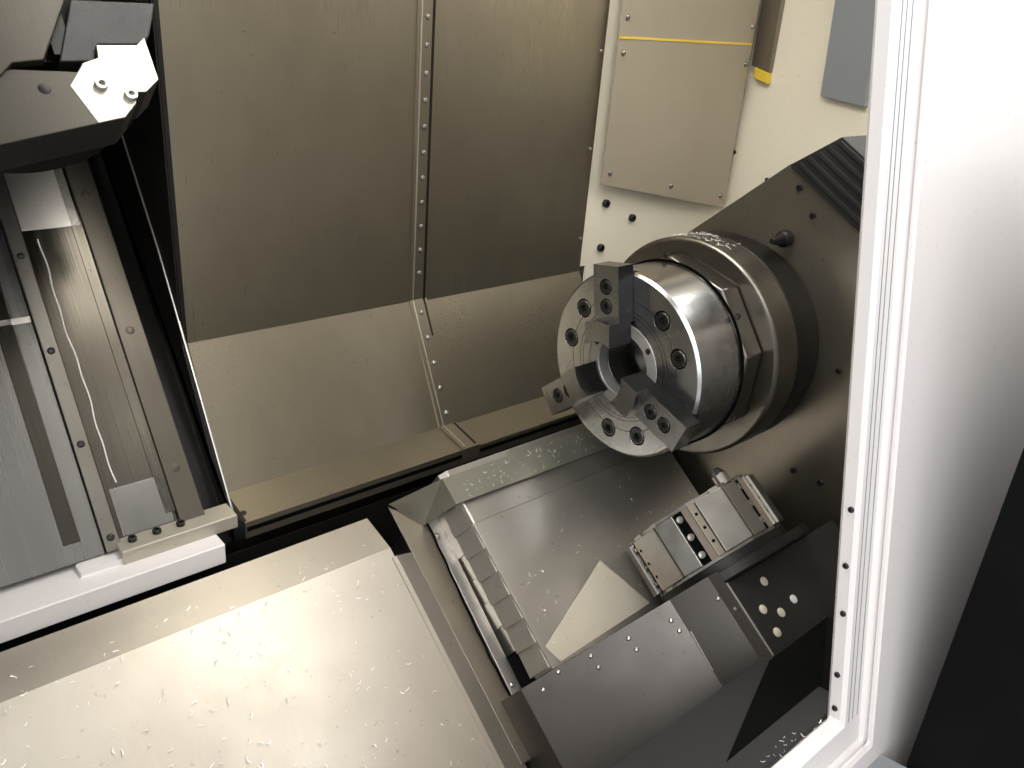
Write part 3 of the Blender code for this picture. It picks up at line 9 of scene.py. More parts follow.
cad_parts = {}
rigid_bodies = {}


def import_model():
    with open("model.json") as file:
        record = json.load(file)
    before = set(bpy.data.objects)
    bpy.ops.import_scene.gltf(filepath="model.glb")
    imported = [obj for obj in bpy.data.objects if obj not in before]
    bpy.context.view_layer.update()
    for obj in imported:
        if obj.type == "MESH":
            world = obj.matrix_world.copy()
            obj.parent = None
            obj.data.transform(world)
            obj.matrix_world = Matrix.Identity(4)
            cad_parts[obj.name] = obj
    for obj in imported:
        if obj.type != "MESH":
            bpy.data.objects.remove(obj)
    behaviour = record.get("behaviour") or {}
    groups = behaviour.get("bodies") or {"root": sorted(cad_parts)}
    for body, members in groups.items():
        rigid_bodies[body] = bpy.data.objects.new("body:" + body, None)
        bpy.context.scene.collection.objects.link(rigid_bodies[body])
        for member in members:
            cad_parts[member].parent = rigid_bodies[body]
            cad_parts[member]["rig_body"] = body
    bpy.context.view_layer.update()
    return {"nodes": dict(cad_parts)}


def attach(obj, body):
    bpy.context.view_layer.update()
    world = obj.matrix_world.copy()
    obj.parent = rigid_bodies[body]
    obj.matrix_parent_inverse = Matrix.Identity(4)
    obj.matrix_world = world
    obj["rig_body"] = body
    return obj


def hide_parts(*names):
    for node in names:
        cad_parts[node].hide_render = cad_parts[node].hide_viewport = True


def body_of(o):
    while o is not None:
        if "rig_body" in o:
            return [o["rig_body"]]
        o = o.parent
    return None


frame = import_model()
nodes = frame["nodes"]
random = np.random.default_rng(7)
print("frame loaded:", len(nodes), "nodes")

# The machine's own directions: the datum is on the spindle's line, at the chuck.
datum = np.array([0.45, -0.23, 1.05])
xAxis, yAxis, zAxis = np.eye(3)
lowerTilt, upperTilt, frontTilt = np.radians((55, 39, 10.8))
sAxis = np.array([0, -math.sin(lowerTilt), -math.cos(lowerTilt)])
nAxis = np.array([0, -math.cos(lowerTilt), math.sin(lowerTilt)])
uAxis = np.array([0, math.sin(upperTilt), math.cos(upperTilt)])
pAxis = np.array([0, -math.cos(upperTilt), math.sin(upperTilt)])
hAxis = np.array([0, math.sin(frontTilt), math.cos(frontTilt)])
dAxis = np.array([0, -math.cos(frontTilt), math.sin(frontTilt)])
machine = (xAxis, yAxis, zAxis, datum)
lower = (xAxis, sAxis, nAxis, datum)      # x, down the lower slope, off it
upper = (xAxis, uAxis, pAxis, datum)      # x, up the upper slope, off it
frontSide = (xAxis, hAxis, dAxis, datum + np.array([0, -0.356, 0]))
jawAngles = np.radians((79.3, 199.3, 319.3))


# Point = origin + a first axis + b second axis + c third axis, for whole arrays.
def put(axes, a, b, c):
    a, b, c = np.broadcast_arrays(np.asarray(a, float), b, c)
    return axes[3] + a[..., None] * axes[0] + b[..., None] * axes[1] + c[..., None] * axes[2]


# Shader values
class Wire:
    # A shader socket that takes part in sums and products like a number.
    def __init__(self, tree, socket=None):
        self.tree = tree
        self.socket = socket

    # A new node with its settings, its inputs linked or set, and one output back
    def node(self, kind, settings=None, inputs=None, output=0):
        made = self.tree.nodes.new(kind)
        for key, value in (settings or {}).items():
            if key == "stops":
                ramp = made.color_ramp.elements
                while len(ramp) < len(value):
                    ramp.new(0.5)
                for stop, (place, colour) in zip(ramp, value):
                    stop.position = place
                    stop.color = colour
            else:
                setattr(made, key, value)
        for key, value in (inputs or {}).items():
            if isinstance(value, Wire):
                self.tree.links.new(value.socket, made.inputs[key])
            else:
                made.inputs[key].default_value = value
        return Wire(self.tree, made.outputs[output])

    # One operation on the given values, in their order
    def maths(self, operation, *values):
        return self.node("ShaderNodeMath", {"operation": operation}, dict(enumerate(values)))

    # Sum, difference and product with a value or a wire, on either side
    def __add__(self, other):
        return self.maths("ADD", self, other)

    def __sub__(self, other):
        return self.maths("SUBTRACT", self, other)

    def __rsub__(self, other):
        return self.maths("SUBTRACT", other, self)

    def __mul__(self, other):
        return self.maths("MULTIPLY", self, other)

    __radd__ = __add__
    __rmul__ = __mul__

    # 0 below low, 1 above high, straight between
    def between(self, low, high):
        return self.node("ShaderNodeMapRange", {"clamp": True},
                         {"Value": self, "From Min": low, "From Max": high})

    # Colour = first x (1 - this value) + second x this value
    def blend(self, first, second):
        return self.node("ShaderNodeMix", {"data_type": "RGBA"}, {0: self, 6: first, 7: second}, 2)


# Noise on object coordinates, turned and then stretched.
def noise(wire, stretch=(1, 1, 1), turn=(0, 0, 0), detail=3, rough=0.55, offset=(0, 0, 0)):
    place = wire.node("ShaderNodeTexCoord", output=3)
    turned = wire.node("ShaderNodeMapping", {}, {"Vector": place, "Rotation": turn})
    scaled = wire.node("ShaderNodeMapping", {}, {"Vector": turned, "Scale": stretch, "Location": offset})
    return wire.node("ShaderNodeTexNoise", {}, {"Vector": scaled, "Scale": 1.0, "Detail": detail,
                                                "Roughness": rough})


# A material with its fixed values set: the material, its shader and a wire come back.
def newMaterial(name, metal=0.0, coat=0.0, ior=1.5):
    made = bpy.data.materials.new(name)
    made.use_nodes = True
    shader = made.node_tree.nodes["Principled BSDF"]
    shader.inputs["Metallic"].default_value = metal
    shader.inputs["Coat Weight"].default_value = coat
    shader.inputs["IOR"].default_value = ior
    return made, shader, Wire(made.node_tree)


# Each named input of the shader is linked to a wire or set to a plain value.
def plug(shader, wire, **values):
    names = {"colour": "Base Color", "rough": "Roughness", "normal": "Normal"}
    for key, value in values.items():
        socket = shader.inputs[names[key]]
        if isinstance(value, Wire):
            wire.tree.links.new(value.socket, socket)
        else:
            socket.default_value = value


# Normal tilted by the slope of the height, which is height x distance x strength.
def bump(wire, height, distance, strength):
    return wire.node("ShaderNodeBump", {}, {"Height": height, "Distance": distance, "Strength": strength})


# A colour that is not see-through.
def colour(r, g, b):
    return (r, g, b, 1)


# Sheet steel: fine grain one way, broad stains, and drip marks along the grain.
def sheetSteel(name, tone, stain, rough=0.3, metal=0.9, turn=(0, 0, 0), grain=(900, 900, 6),
               marks=0.35):
    made, shader, wire = newMaterial(name, metal)
    fine = noise(wire, grain, turn, 2)
    broad = noise(wire, (3.1, 3.1, 2.2), turn, 4, 0.6)
    drips = noise(wire, tuple(g / 16 for g in grain), turn, 3, 0.7, (3, 1, 4))
    spots = noise(wire, (160, 160, 160), turn, 2, 0.6, (1, 7, 2))
    worn = broad.between(0.42, 0.66)
    drip = drips.between(0.55, 0.75) * marks
    dirt = spots.between(0.68, 0.74) * 0.35
    tint = worn.blend(colour(*tone), colour(*stain))
    tint = drip.blend(tint, colour(*[c * 1.35 for c in stain]))
    tint = dirt.blend(tint, colour(*[c * 0.35 for c in stain]))
    plug(shader, wire, colour=tint, rough=fine * 0.16 + worn * 0.1 + drip * 0.2 + (rough - 0.1),
         normal=bump(wire, fine + drips * 0.6, 0.00012, 0.35))
    return made


# Machined steel: rings about the spindle's line, from noise of the radius.
def turnedSteel(name, tone, rough=0.25, metal=1.0, rings=1400, depth=0.00002):
    made, shader, wire = newMaterial(name, metal)
    place = wire.node("ShaderNodeTexCoord", output=3)
    centred = wire.node("ShaderNodeMapping", {}, {"Vector": place, "Location": tuple(-datum)})
    x, y, z = [wire.node("ShaderNodeSeparateXYZ", {}, {"Vector": centred}, part) for part in range(3)]
    radius = wire.maths("SQRT", y * y + z * z)
    line = wire.node("ShaderNodeCombineXYZ", {}, {"X": radius * rings, "Y": x * rings})
    lathe = wire.node("ShaderNodeTexNoise", {}, {"Vector": line, "Scale": 1.0, "Detail": 2.0})
    broad = noise(wire, (14, 14, 14), detail=4)
    worn = broad.between(0.4, 0.7)
    tint = worn.blend(colour(*tone), colour(*[c * 0.72 for c in tone]))
    plug(shader, wire, colour=tint,
         rough=lathe * 0.10 + worn * 0.10 + (rough - 0.06),
         normal=bump(wire, lathe, depth, 0.5))
    return made


# Paint: even colour, slight orange peel, dust that gathers in a broad pattern.
def paint(name, tone, rough=0.35, dust=0.12, coat=0.15, speck=0.25):
    made, shader, wire = newMaterial(name, 0.0, coat)
    broad = noise(wire, (4, 4, 2.4), detail=5, rough=0.6).between(0.45, 0.75)
    peel = noise(wire, (420, 420, 420), detail=2)
    specks = noise(wire, (260, 260, 260), detail=2, rough=0.5, offset=(5, 2, 8)).between(0.70, 0.74)
    tint = (broad * dust).blend(colour(*tone), colour(tone[0] * 0.72, tone[1] * 0.69, tone[2] * 0.62))
    tint = (specks * speck).blend(tint, colour(*[c * 0.25 for c in tone]))
    plug(shader, wire, colour=tint, rough=broad * 0.12 + peel * 0.1 + (rough - 0.05),
         normal=bump(wire, peel, 0.00010, 0.25))
    return made


# Cast or moulded dark surface: rough grain and pale rubbed patches.
def darkCast(name, tone, rubbed, rough=0.5, metal=0.0, grain=350, gloss=0.5):
    made, shader, wire = newMaterial(name, metal)
    shader.inputs["Specular IOR Level"].default_value = gloss
    fine = noise(wire, (grain, grain, grain), detail=3)
    broad = noise(wire, (9, 9, 9), detail=5, rough=0.65).between(0.5, 0.78)
    tint = (broad * 0.6).blend(colour(*tone), colour(*rubbed))
    plug(shader, wire, colour=tint, rough=fine * 0.25 + broad * 0.1 + (rough - 0.12),
         normal=bump(wire, fine, 0.00020, 0.5))
    return made


# Window glass: clear, with upright smears that are duller and a little darker.
def glass(name, tone, rough=0.05):
    made, shader, wire = newMaterial(name, 0.0, 0.0, 1.45)
    smear = noise(wire, (6, 6, 30), detail=4).between(0.5, 0.8)
    shader.inputs["Transmission Weight"].default_value = 0.75
    plug(shader, wire, colour=smear.blend(colour(*tone), colour(*[c * 0.8 for c in tone])),
         rough=smear * 0.12 + rough)
    return made


slopeTurn = (-lowerTilt, 0, 0)
columnTurn = (upperTilt, 0, 0)
finishes = {
    "back": sheetSteel("backSheet", (0.275, 0.242, 0.178), (0.205, 0.178, 0.13), 0.31, 0.80, marks=0.10),
    "front": sheetSteel("frontSheet", (0.50, 0.46, 0.40), (0.42, 0.38, 0.32), 0.36, 0.75, slopeTurn,
                        (700, 8, 700), 0.25),
    "inner": sheetSteel("innerSheet", (0.50, 0.47, 0.42), (0.38, 0.355, 0.31), 0.34, 0.82, slopeTurn,
                        (700, 8, 700), 0.2),
    # Pale steel for hems and plates, and for rods and bars that paint highlights on edges.
    "hem": sheetSteel("hemSheet", (0.60, 0.575, 0.53), (0.46, 0.43, 0.39), 0.32, 0.80, slopeTurn,
                      (700, 8, 700), 0.2),
    "column": sheetSteel("columnSheet", (0.062, 0.056, 0.045), (0.038, 0.034, 0.028), 0.20, 0.95, columnTurn,
                         (500, 500, 7), 0.75),
    "columnPale": sheetSteel("columnPaleSheet", (0.19, 0.185, 0.175), (0.10, 0.096, 0.088), 0.24, 0.9,
                             columnTurn, (300, 300, 5), 1.0),
    "rail": sheetSteel("railSheet", (0.092, 0.080, 0.062), (0.07, 0.06, 0.046), 0.40, 0.6, columnTurn,
                       (600, 600, 9), 0.3),
    "headPlate": sheetSteel("headPlateSheet", (0.275, 0.245, 0.197), (0.197, 0.172, 0.136), 0.33, 0.85,
                            marks=0.15),
    "slide": sheetSteel("slideSheet", (0.105, 0.096, 0.088), (0.07, 0.063, 0.058), 0.36, 0.75, slopeTurn,
                        (800, 10, 800), 0.2),
    "sill": sheetSteel("sillSheet", (0.032, 0.032, 0.032), (0.02, 0.02, 0.02), 0.42, 0.5,
                       grain=(6, 800, 800)),
    "chuck": turnedSteel("chuckSteel", (0.58, 0.58, 0.575), 0.23),
    "jaw": turnedSteel("jawSteel", (0.42, 0.42, 0.42), 0.24),
    "adapter": turnedSteel("adapterSteel", (0.22, 0.205, 0.18), 0.30),
    "narrowRail": sheetSteel("narrowRailSheet", (0.17, 0.16, 0.14), (0.11, 0.10, 0.085), 0.34, 0.8,
                             columnTurn, (600, 600, 9), 0.3),
    "screw": turnedSteel("screwSteel", (0.040, 0.038, 0.036), 0.34, 0.7),
    "brightScrew": turnedSteel("brightScrewSteel", (0.42, 0.41, 0.38), 0.3),
    "drum": darkCast("drumSteel", (0.25, 0.238, 0.218), (0.33, 0.312, 0.285), 0.34, 0.9, grain=60),
    "toolFace": sheetSteel("toolFaceSteel", (0.032, 0.027, 0.018), (0.024, 0.020, 0.013), 0.38, 0.4, columnTurn,
                           (500, 500, 30), 0.2),
    # Pale steel: the sill clamp's own tone, and painted light on the upper tool block's face.
    "toolEnd": sheetSteel("paleSteelAndPaintedLightSteel", (0.50, 0.47, 0.40), (0.44, 0.41, 0.34), 0.36, 0.4, columnTurn,
                          (500, 500, 30), 0.1),
    # Black steel: black parts' own colour, and painted shade in the chuck's pockets and grooves.
    "blackSteel": darkCast("blackSteel", (0.010, 0.009, 0.008), (0.028, 0.026, 0.022), 0.42, 0.2, gloss=0.3),
    "toolBlock": darkCast("toolBlock", (0.022, 0.021, 0.020), (0.055, 0.052, 0.048), 0.42, 0.4),
    "casting": darkCast("castingPaint", (0.17, 0.18, 0.19), (0.11, 0.11, 0.11), 0.55),
    "rubber": darkCast("wiperRubber", (0.010, 0.010, 0.010), (0.025, 0.025, 0.025), 0.55),
    "plastic": darkCast("consolePlastic", (0.004, 0.004, 0.004), (0.009, 0.009, 0.010), 0.65, grain=600,
                        gloss=0.05),
    "white": paint("whitePaint", (0.76, 0.725, 0.715), 0.38, 0.10),
    "lining": paint("liningPaint", (0.16, 0.15, 0.13), 0.45, 0.25, 0.05),
    "cream": paint("creamPaint", (0.84, 0.785, 0.64), 0.38, 0.20),
    "coverPlate": paint("coverPlatePaint", (0.34, 0.295, 0.22), 0.34, 0.25, 0.1),
    "grey": paint("greyPaint", (0.24, 0.26, 0.28), 0.40, 0.25),
    "red": paint("stopRed", (0.60, 0.03, 0.03), 0.3, 0.05),
    "green": paint("startGreen", (0.05, 0.38, 0.12), 0.3, 0.05),
    # Pale steel for the housing plugs, and for the plate that paints a patch of reflected light on the slide's
    # cover.
    "patch": sheetSteel("patchSheet", (0.66, 0.61, 0.50), (0.58, 0.53, 0.42), 0.40, 0.3, slopeTurn,
                        (700, 8, 700), 0.1),
    # Darker copy of the jaw steel for the jaws' sides: painted dark reflection.
    "jawSidePaintedDarkReflection": turnedSteel("jawSidePaintedDarkReflectionSteel", (0.055, 0.055, 0.057), 0.28, 0.9),
    "shelf": sheetSteel("shelfSheet", (0.30, 0.29, 0.235), (0.22, 0.21, 0.165), 0.32, 0.6, slopeTurn,
                        (700, 8, 700), 0.25),
    "bush": turnedSteel("bushSteel", (0.42, 0.41, 0.39), 0.32, 0.45),
    # Near-black, for the seal and other black marks, and for painted shade behind the chuck and the slide.
    "blackAndPaintedShade": darkCast("blackAndPaintedShadePaint", (0.002, 0.002, 0.002), (0.004, 0.004, 0.004), 0.8, gloss=0.05),
    "recess": darkCast("recessSteel", (0.20, 0.17, 0.135), (0.28, 0.25, 0.21), 0.5, 0.2),
    "chip": turnedSteel("chipSteel", (0.85, 0.84, 0.80), 0.35, 0.5),
    "yellow": paint("holdYellow", (0.78, 0.55, 0.05), 0.3, 0.05),
    "glass": glass("windowGlass", (0.62, 0.68, 0.66)),
}
print("materials made:", len(finishes))


# Mesh makers

# Mesh from points and faces, doubles merged, faces turned outward, riding a body.
def piece(name, points, faces, body, finish, smooth=False, bevel=0.0, slot=None):
    mesh = bpy.data.meshes.new(name)
    mesh.from_pydata(np.asarray(points).reshape(-1, 3).tolist(), [], [list(f) for f in faces])
    shape = bmesh.new()
    shape.from_mesh(mesh)
    bmesh.ops.remove_doubles(shape, verts=shape.verts, dist=1e-6)
    bmesh.ops.recalc_face_normals(shape, faces=shape.faces)
    shape.to_mesh(mesh)
    shape.free()
    made = bpy.data.objects.new(name, mesh)
    bpy.context.scene.collection.objects.link(made)
    mesh.materials.append(finishes[finish])
    if smooth:
        mesh.shade_smooth()
        mesh.set_sharp_from_angle(angle=math.radians(35))
    if bevel:
        edge = made.modifiers.new("edge", "BEVEL")
        edge.width = bevel
        edge.segments = 2
        edge.limit_method = "ANGLE"
    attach(made, body)
    return made


# Quads of copies x rows x columns of points; the columns close into a ring.
def ringFaces(copies, rows, columns, caps=True):
    copy, row, column = np.meshgrid(range(copies), range(rows - 1), range(columns), indexing="ij")
    base = copy * rows * columns
    after = (column + 1) % columns
    quads = np.stack([base + row * columns + column, base + row * columns + after,
                      base + (row + 1) * columns + after, base + (row + 1) * columns + column], -1)
    faces = quads.reshape(-1, 4).tolist()
    if caps:
        starts = np.arange(copies) * rows * columns
        faces += (starts[:, None] + np.arange(columns)).tolist()
        faces += (starts[:, None] + (rows - 1) * columns + np.arange(columns)).tolist()
    return faces


# Bar: a flat outline (k, 2) carried straight from c0 to c1 along the third axis.
def bar(name, outline, c0, c1, axes, body, finish, **looks):
    outline = np.asarray(outline, float)
    points = put(axes, outline[None, :, 0], outline[None, :, 1], np.array([[c0], [c1]]))
    return piece(name, points, ringFaces(1, 2, len(outline)), body, finish, **looks)


# Several bars at once: outlines (m, k, 2), each from c0 to c1.
def bars(name, outlines, c0, c1, axes, body, finish, **looks):
    outlines = np.asarray(outlines, float)
    ends = np.array([c0, c1], float).reshape(1, 2, 1)
    points = put(axes, outlines[:, None, :, 0], outlines[:, None, :, 1], ends)
    return piece(name, points, ringFaces(len(outlines), 2, outlines.shape[1]), body, finish, **looks)


# Four corners from a0 to a1 and b0 to b1, in turn.
def rectangle(a0, a1, b0, b1):
    return [(a0, b0), (a1, b0), (a1, b1), (a0, b1)]


# Two directions square to each normal, for whole arrays of normals.
def crossways(normals):
    helper = np.where(np.abs(normals[:, :1]) < 0.9, xAxis, yAxis)
    first = np.cross(normals, helper)
    first /= np.linalg.norm(first, axis=1)[:, None]
    return first, np.cross(normals, first)


# Turned heads at many spots: ring i has radius r[i] and height h[i], and a ring
# marked six has its radius cut to a hexagon, which makes the key's socket.
def heads(name, spots, normals, size, body, finish, kind="socket", sides=18, **looks):
    profiles = {
        "socket": [(0, -0.2, 0), (1, -0.2, 0), (1, 0.88, 0), (0.91, 1.0, 0), (0.55, 1.0, 0), (0.50, 0.97, 1),
                   (0.50, 0.35, 1), (0, 0.35, 0)],
        "pocket": [(0.78, -0.56, 0), (0.997, -0.56, 0), (0.997, -0.02, 0), (0.985, -0.02, 0),
                   (0.985, -0.53, 0), (0.78, -0.53, 0), (0.78, -0.56, 0)],
        "pan": [(0, -0.2, 0), (1, -0.2, 0), (1, 0.15, 0), (0.86, 0.5, 0), (0.5, 0.72, 0), (0.42, 0.72, 1),
                (0.42, 0.35, 1), (0, 0.35, 0)],
        "plug": [(0, -0.2, 0), (1, -0.2, 0), (1, 0.12, 0), (0.86, 0.2, 0), (0, 0.2, 0)],
    }
    rings = np.array(profiles[kind])
    spots = np.asarray(spots, float).reshape(-1, 3)
    normals = np.broadcast_to(np.asarray(normals, float), spots.shape)
    first, second = crossways(normals)
    angle = np.linspace(0, math.tau, sides, endpoint=False)
    turn = np.arange(len(spots)) * 2.4
    six = np.cos(math.pi / 6) / np.cos((angle + math.pi / 6) % (math.pi / 3) - math.pi / 6)
    radius = rings[:, :1] * np.where(rings[:, 2:] > 0, six, 1.0) * size
    swing = angle[None, None, :] + turn[:, None, None]
    points = (spots[:, None, None, :]
              + (radius[None] * np.cos(swing))[..., None] * first[:, None, None, :]
              + (radius[None] * np.sin(swing))[..., None] * second[:, None, None, :]
              + (rings[:, 1] * size)[None, :, None, None] * normals[:, None, None, :])
    faces = ringFaces(len(spots), len(rings), sides, caps=False)
    return piece(name, points, faces, body, finish, smooth=True, **looks)


# Turned piece: radius r[i] at distance t[i] along an axis through a point.
def turned(name, profile, origin, axis, body, finish, sides=64, **looks):
    profile = np.asarray(profile, float)
    axis = np.asarray(axis, float)
    first, second = crossways(axis[None])
    angle = np.linspace(0, math.tau, sides, endpoint=False)
    ring = np.cos(angle)[:, None] * first + np.sin(angle)[:, None] * second
    points = np.asarray(origin) + profile[:, 1, None, None] * axis + profile[:, 0, None, None] * ring[None]
    return piece(name, points, ringFaces(1, len(profile), sides, caps=False), body, finish,
                 smooth=True, **looks)


# Round rod along a path: a circle carried along the points.
def rod(name, path, radius, body, finish, sides=12, **looks):
    path = np.asarray(path, float)
    tangents = np.gradient(path, axis=0)
    tangents /= np.linalg.norm(tangents, axis=1)[:, None]
    first, second = crossways(tangents)
    angle = np.linspace(0, math.tau, sides, endpoint=False)
    points = path[:, None] + radius * (np.cos(angle)[None, :, None] * first[:, None]
                                       + np.sin(angle)[None, :, None] * second[:, None])
    return piece(name, points, ringFaces(1, len(path), sides), body, finish, smooth=True, **looks)


# Swarf: each chip is a thin strip on an arc that climbs as it turns.
def chips(name, spots, normal, body, size=0.004, sides=4, steps=6):
    spots = np.asarray(spots, float).reshape(-1, 3)
    count = len(spots)
    normals = np.broadcast_to(np.asarray(normal, float), spots.shape)
    first, second = crossways(normals)
    spin = random.uniform(0, math.tau, count)
    a = np.cos(spin)[:, None] * first + np.sin(spin)[:, None] * second
    b = np.cross(normals, a)
    length = size * random.uniform(0.5, 1.6, count)
    bend = random.uniform(0.4, 2.6, count)
    t = np.linspace(-0.5, 0.5, steps)
    swing = t[None] * bend[:, None]
    radius = (length / bend)[:, None]
    across = radius * np.sin(swing)
    along = radius * (np.cos(swing) - 1)
    lift = 0.0004 + np.abs(across) * random.uniform(0, 0.5, count)[:, None]
    middle = (spots[:, None] + across[..., None] * a[:, None] + along[..., None] * b[:, None]
              + lift[..., None] * normals[:, None])
    width = (0.10 * length)[:, None, None, None]
    corner = np.linspace(0, math.tau, sides, endpoint=False) + math.pi / 4
    ring = (np.cos(corner)[None, None, :, None] * b[:, None, None]
            + 0.35 * np.sin(corner)[None, None, :, None] * normals[:, None, None])
    points = middle[:, :, None] + width * ring
    return piece(name, points, ringFaces(count, steps, sides), body, "chip")


# Chips at random over a rectangle of the first two axes, all at one height.
def scatter(name, count, first, second, height, axes, body, size):
    spots = put(axes, random.uniform(*first, count), random.uniform(*second, count), height)
    chips(name, spots, axes[2], body, size)


# The finish becomes the only material of each named CAD piece.
def dress(finish, *names):
    for name in names:
        materials = nodes[name].data.materials
        materials.clear()
        materials.append(finishes[finish])


# Copy of a CAD piece: doubles merged, and edges sharper than 24 degrees rounded.
def rounded(finish, edge, *names, smooth=False):
    for name in names:
        shape = bmesh.new()
        shape.from_mesh(nodes[name].data)
        bmesh.ops.remove_doubles(shape, verts=shape.verts, dist=1e-5)
        corners = [list(vertex.co) for vertex in shape.verts]
        faces = [[vertex.index for vertex in face.verts] for face in shape.faces]
        shape.free()
        mesh = bpy.data.meshes.new(name + "_finished")
        mesh.from_pydata(corners, [], faces)
        made = bpy.data.objects.new(name + "_finished", mesh)
        bpy.context.scene.collection.objects.link(made)
        mesh.materials.append(finishes[finish])
        if smooth:
            mesh.shade_smooth()
            mesh.set_sharp_from_angle(angle=math.radians(24))
        soft = made.modifiers.new("edge", "BEVEL")
        soft.width = edge
        soft.segments = 1
        soft.limit_method = "ANGLE"
        soft.angle_limit = math.radians(24)
        soft.mark_sharp = smooth
        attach(made, body_of(nodes[name])[0])
        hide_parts(name)


# Finishes of the CAD pieces
rounded("back", 0.0008, "back_cover_moving", "back_cover_fixed")
rounded("front", 0.0008, "front_cover_moving", "front_cover_fixed")
rounded("inner", 0.0012, "x_cover_outer", "x_cover_inner")
rounded("column", 0.0008, "upper_saddle")
rounded("headPlate", 0.001, "headstock_plate")
rounded("slide", 0.001, "turret_slide")
rounded("sill", 0.001, "door_sill")
rounded("white", 0.001, "saddle_sill")
rounded("chuck", 0.0007, "chuck_body", smooth=True)
rounded("bush", 0.0007, "pilot_bush", smooth=True)
rounded("jaw", 0.0006, "chuck_jaw_1", "chuck_jaw_2", "chuck_jaw_3", smooth=True)
rounded("adapter", 0.0010, "chuck_adapter", "spindle_disc", "clamping_cylinder", "door_handle", smooth=True)
rounded("drum", 0.0008, "turret_drum")
rounded("blackSteel", 0.001, "spindle_ring", "coolant_nozzle", "turret_disc", "upper_turret_drum",
        smooth=True)
rounded("toolBlock", 0.002, "upper_slide", "turret_housing", "lower_carriage")
rounded("rubber", 0.001, "way_wiper")
rounded("plastic", 0.003, "console_housing")
rounded("plastic", 0.001, "override_knob")
rounded("white", 0.003, "door_jamb", "front_upper_panel", "door_panel", "front_lower_panel")
rounded("coverPlate", 0.0012, "wall_cover")
rounded("grey", 0.002, "chip_drawer")
# A jaw's two side faces look across its own radius, and get a darker copy of the jaw steel: painted dark
# reflection.
for number, angle in enumerate(jawAngles, 1):
    jaw = bpy.data.objects[f"chuck_jaw_{number}_finished"].data
    jaw.materials.append(finishes["jawSidePaintedDarkReflection"])
    for face in jaw.polygons:
        if abs(face.normal.y * math.sin(angle) - face.normal.z * math.cos(angle)) > 0.8:
            face.material_index = 1
dress("adapter", "spindle_shaft", "front_bearing", "rear_bearing")
dress("blackSteel", "gutter_channel")
dress("casting", "headstock_body", "bed_casting", "base_frame")
dress("white", "left_side_panel", "right_side_panel", "rear_panel", "roof_panel", "work_lamp")
dress("cream", "right_end_wall", "rear_wall_panel")
dress("lining", "left_end_wall")
dress("grey", "door_lower_rail", "door_upper_rail")
dress("red", "emergency_stop")
dress("green", "cycle_start_button")
dress("yellow", "feed_hold_button")
dress("glass", "door_window", "console_screen")
print("CAD pieces finished")

# Back covers
backCover = {"ribX": -0.066, "ribY": 0.2979, "ribHeight": 0.003, "screwSize": 0.0032, "spacing": 0.030,
             "edgeX": 0.228, "edgeY": 0.3040, "edgeScrew": 0.003}
bends = np.array([(0.300, 0.840), (0.300, -0.007), (0.223, -0.155), (0.174, -0.165)])
wallZ = np.arange(0.03, 0.84, backCover["spacing"])
slopeT = np.linspace(0.1, 0.9, 5)
slopeYZ = bends[1] + slopeT[:, None] * (bends[2] - bends[1])
slopeNormal = np.array([0, -(bends[1] - bends[2])[1], (bends[1] - bends[2])[0]])
slopeNormal /= np.linalg.norm(slopeNormal)
heads("rib_wall_screws", put(machine, backCover["ribX"], backCover["ribY"], wallZ), -yAxis,
      backCover["screwSize"], "saddle", "brightScrew", "pan", 12)
heads("rib_slope_screws", put(machine, backCover["ribX"], slopeYZ[:, 0], slopeYZ[:, 1])
      + slopeNormal * backCover["ribHeight"],
      slopeNormal, backCover["screwSize"], "saddle", "brightScrew", "pan", 12)
heads("fixed_cover_screws", put(machine, backCover["edgeX"], backCover["edgeY"], np.arange(0.04, 0.82, 0.13)),
      -yAxis, backCover["edgeScrew"], "machine", "brightScrew", "pan", 12)

wallLine = np.array([(0.300, 0.840), (0.300, -0.007), (0.223, -0.155), (0.176, -0.1645)])
wallNormal = np.array([(-1.0, 0.0), (-0.972, 0.235), (-0.560, 0.829), (-0.20, 0.98)])


# Strip along the cover's bends: outline = bend line + normal x low, back along + normal x high.
def band(name, x0, x1, low, high, body, finish):
    outline = np.concatenate([wallLine + wallNormal * low, (wallLine + wallNormal * high)[::-1]])
    return bar(name, outline, x0, x1, (yAxis, zAxis, xAxis, datum), body, finish)


band("rib_light_edge", -0.0755, -0.0741, 0.0015, 0.0036, "saddle", "hem")
band("rib_dark_gap", -0.0592, -0.0562, -0.0005, 0.0030, "saddle", "blackSteel")
band("cover_left_gap", -0.3700, -0.3655, -0.0005, 0.0006, "saddle", "blackSteel")
bar("lip_gap", rectangle(-0.366, 0.150, -0.1765, -0.1715), -0.0004, 0.0006,
    (xAxis, zAxis, -yAxis, datum + np.array([0, 0.1740, 0])), "saddle", "blackAndPaintedShade")
heads("cover_hole", put(machine, -0.3660 + 0.003, 0.1880, -0.1618), (0, -0.2, 0.98), 0.0032, "saddle",
      "blackSteel", "plug", 16)

# Wall cover and cream walls
wallCover = {"x": (0.240, 0.548), "y": 0.285, "seam": 0.321, "screw": 0.0042}
x0, x1 = wallCover["x"]
bar("wall_cover_seam", rectangle(x0, x1, wallCover["seam"] - 0.003, wallCover["seam"]), -0.0004, 0.0012,
    (xAxis, zAxis, -yAxis, datum + np.array([0, wallCover["y"], 0])), "machine", "yellow")
heads("wall_cover_screws", put(machine, (0.255, 0.400, 0.535, 0.252, 0.540, 0.540, 0.252),
                               wallCover["y"], (0.138, 0.109, 0.083, 0.300, 0.290, 0.345, 0.345)),
      -yAxis, wallCover["screw"], "machine", "brightScrew", "pan", 14)
heads("wall_bolts", put(machine, (0.276, 0.340, 0.276), 0.3063, (0.088, 0.060, 0.020)), -yAxis, 0.006,
      "machine", "screw", "socket", 14)

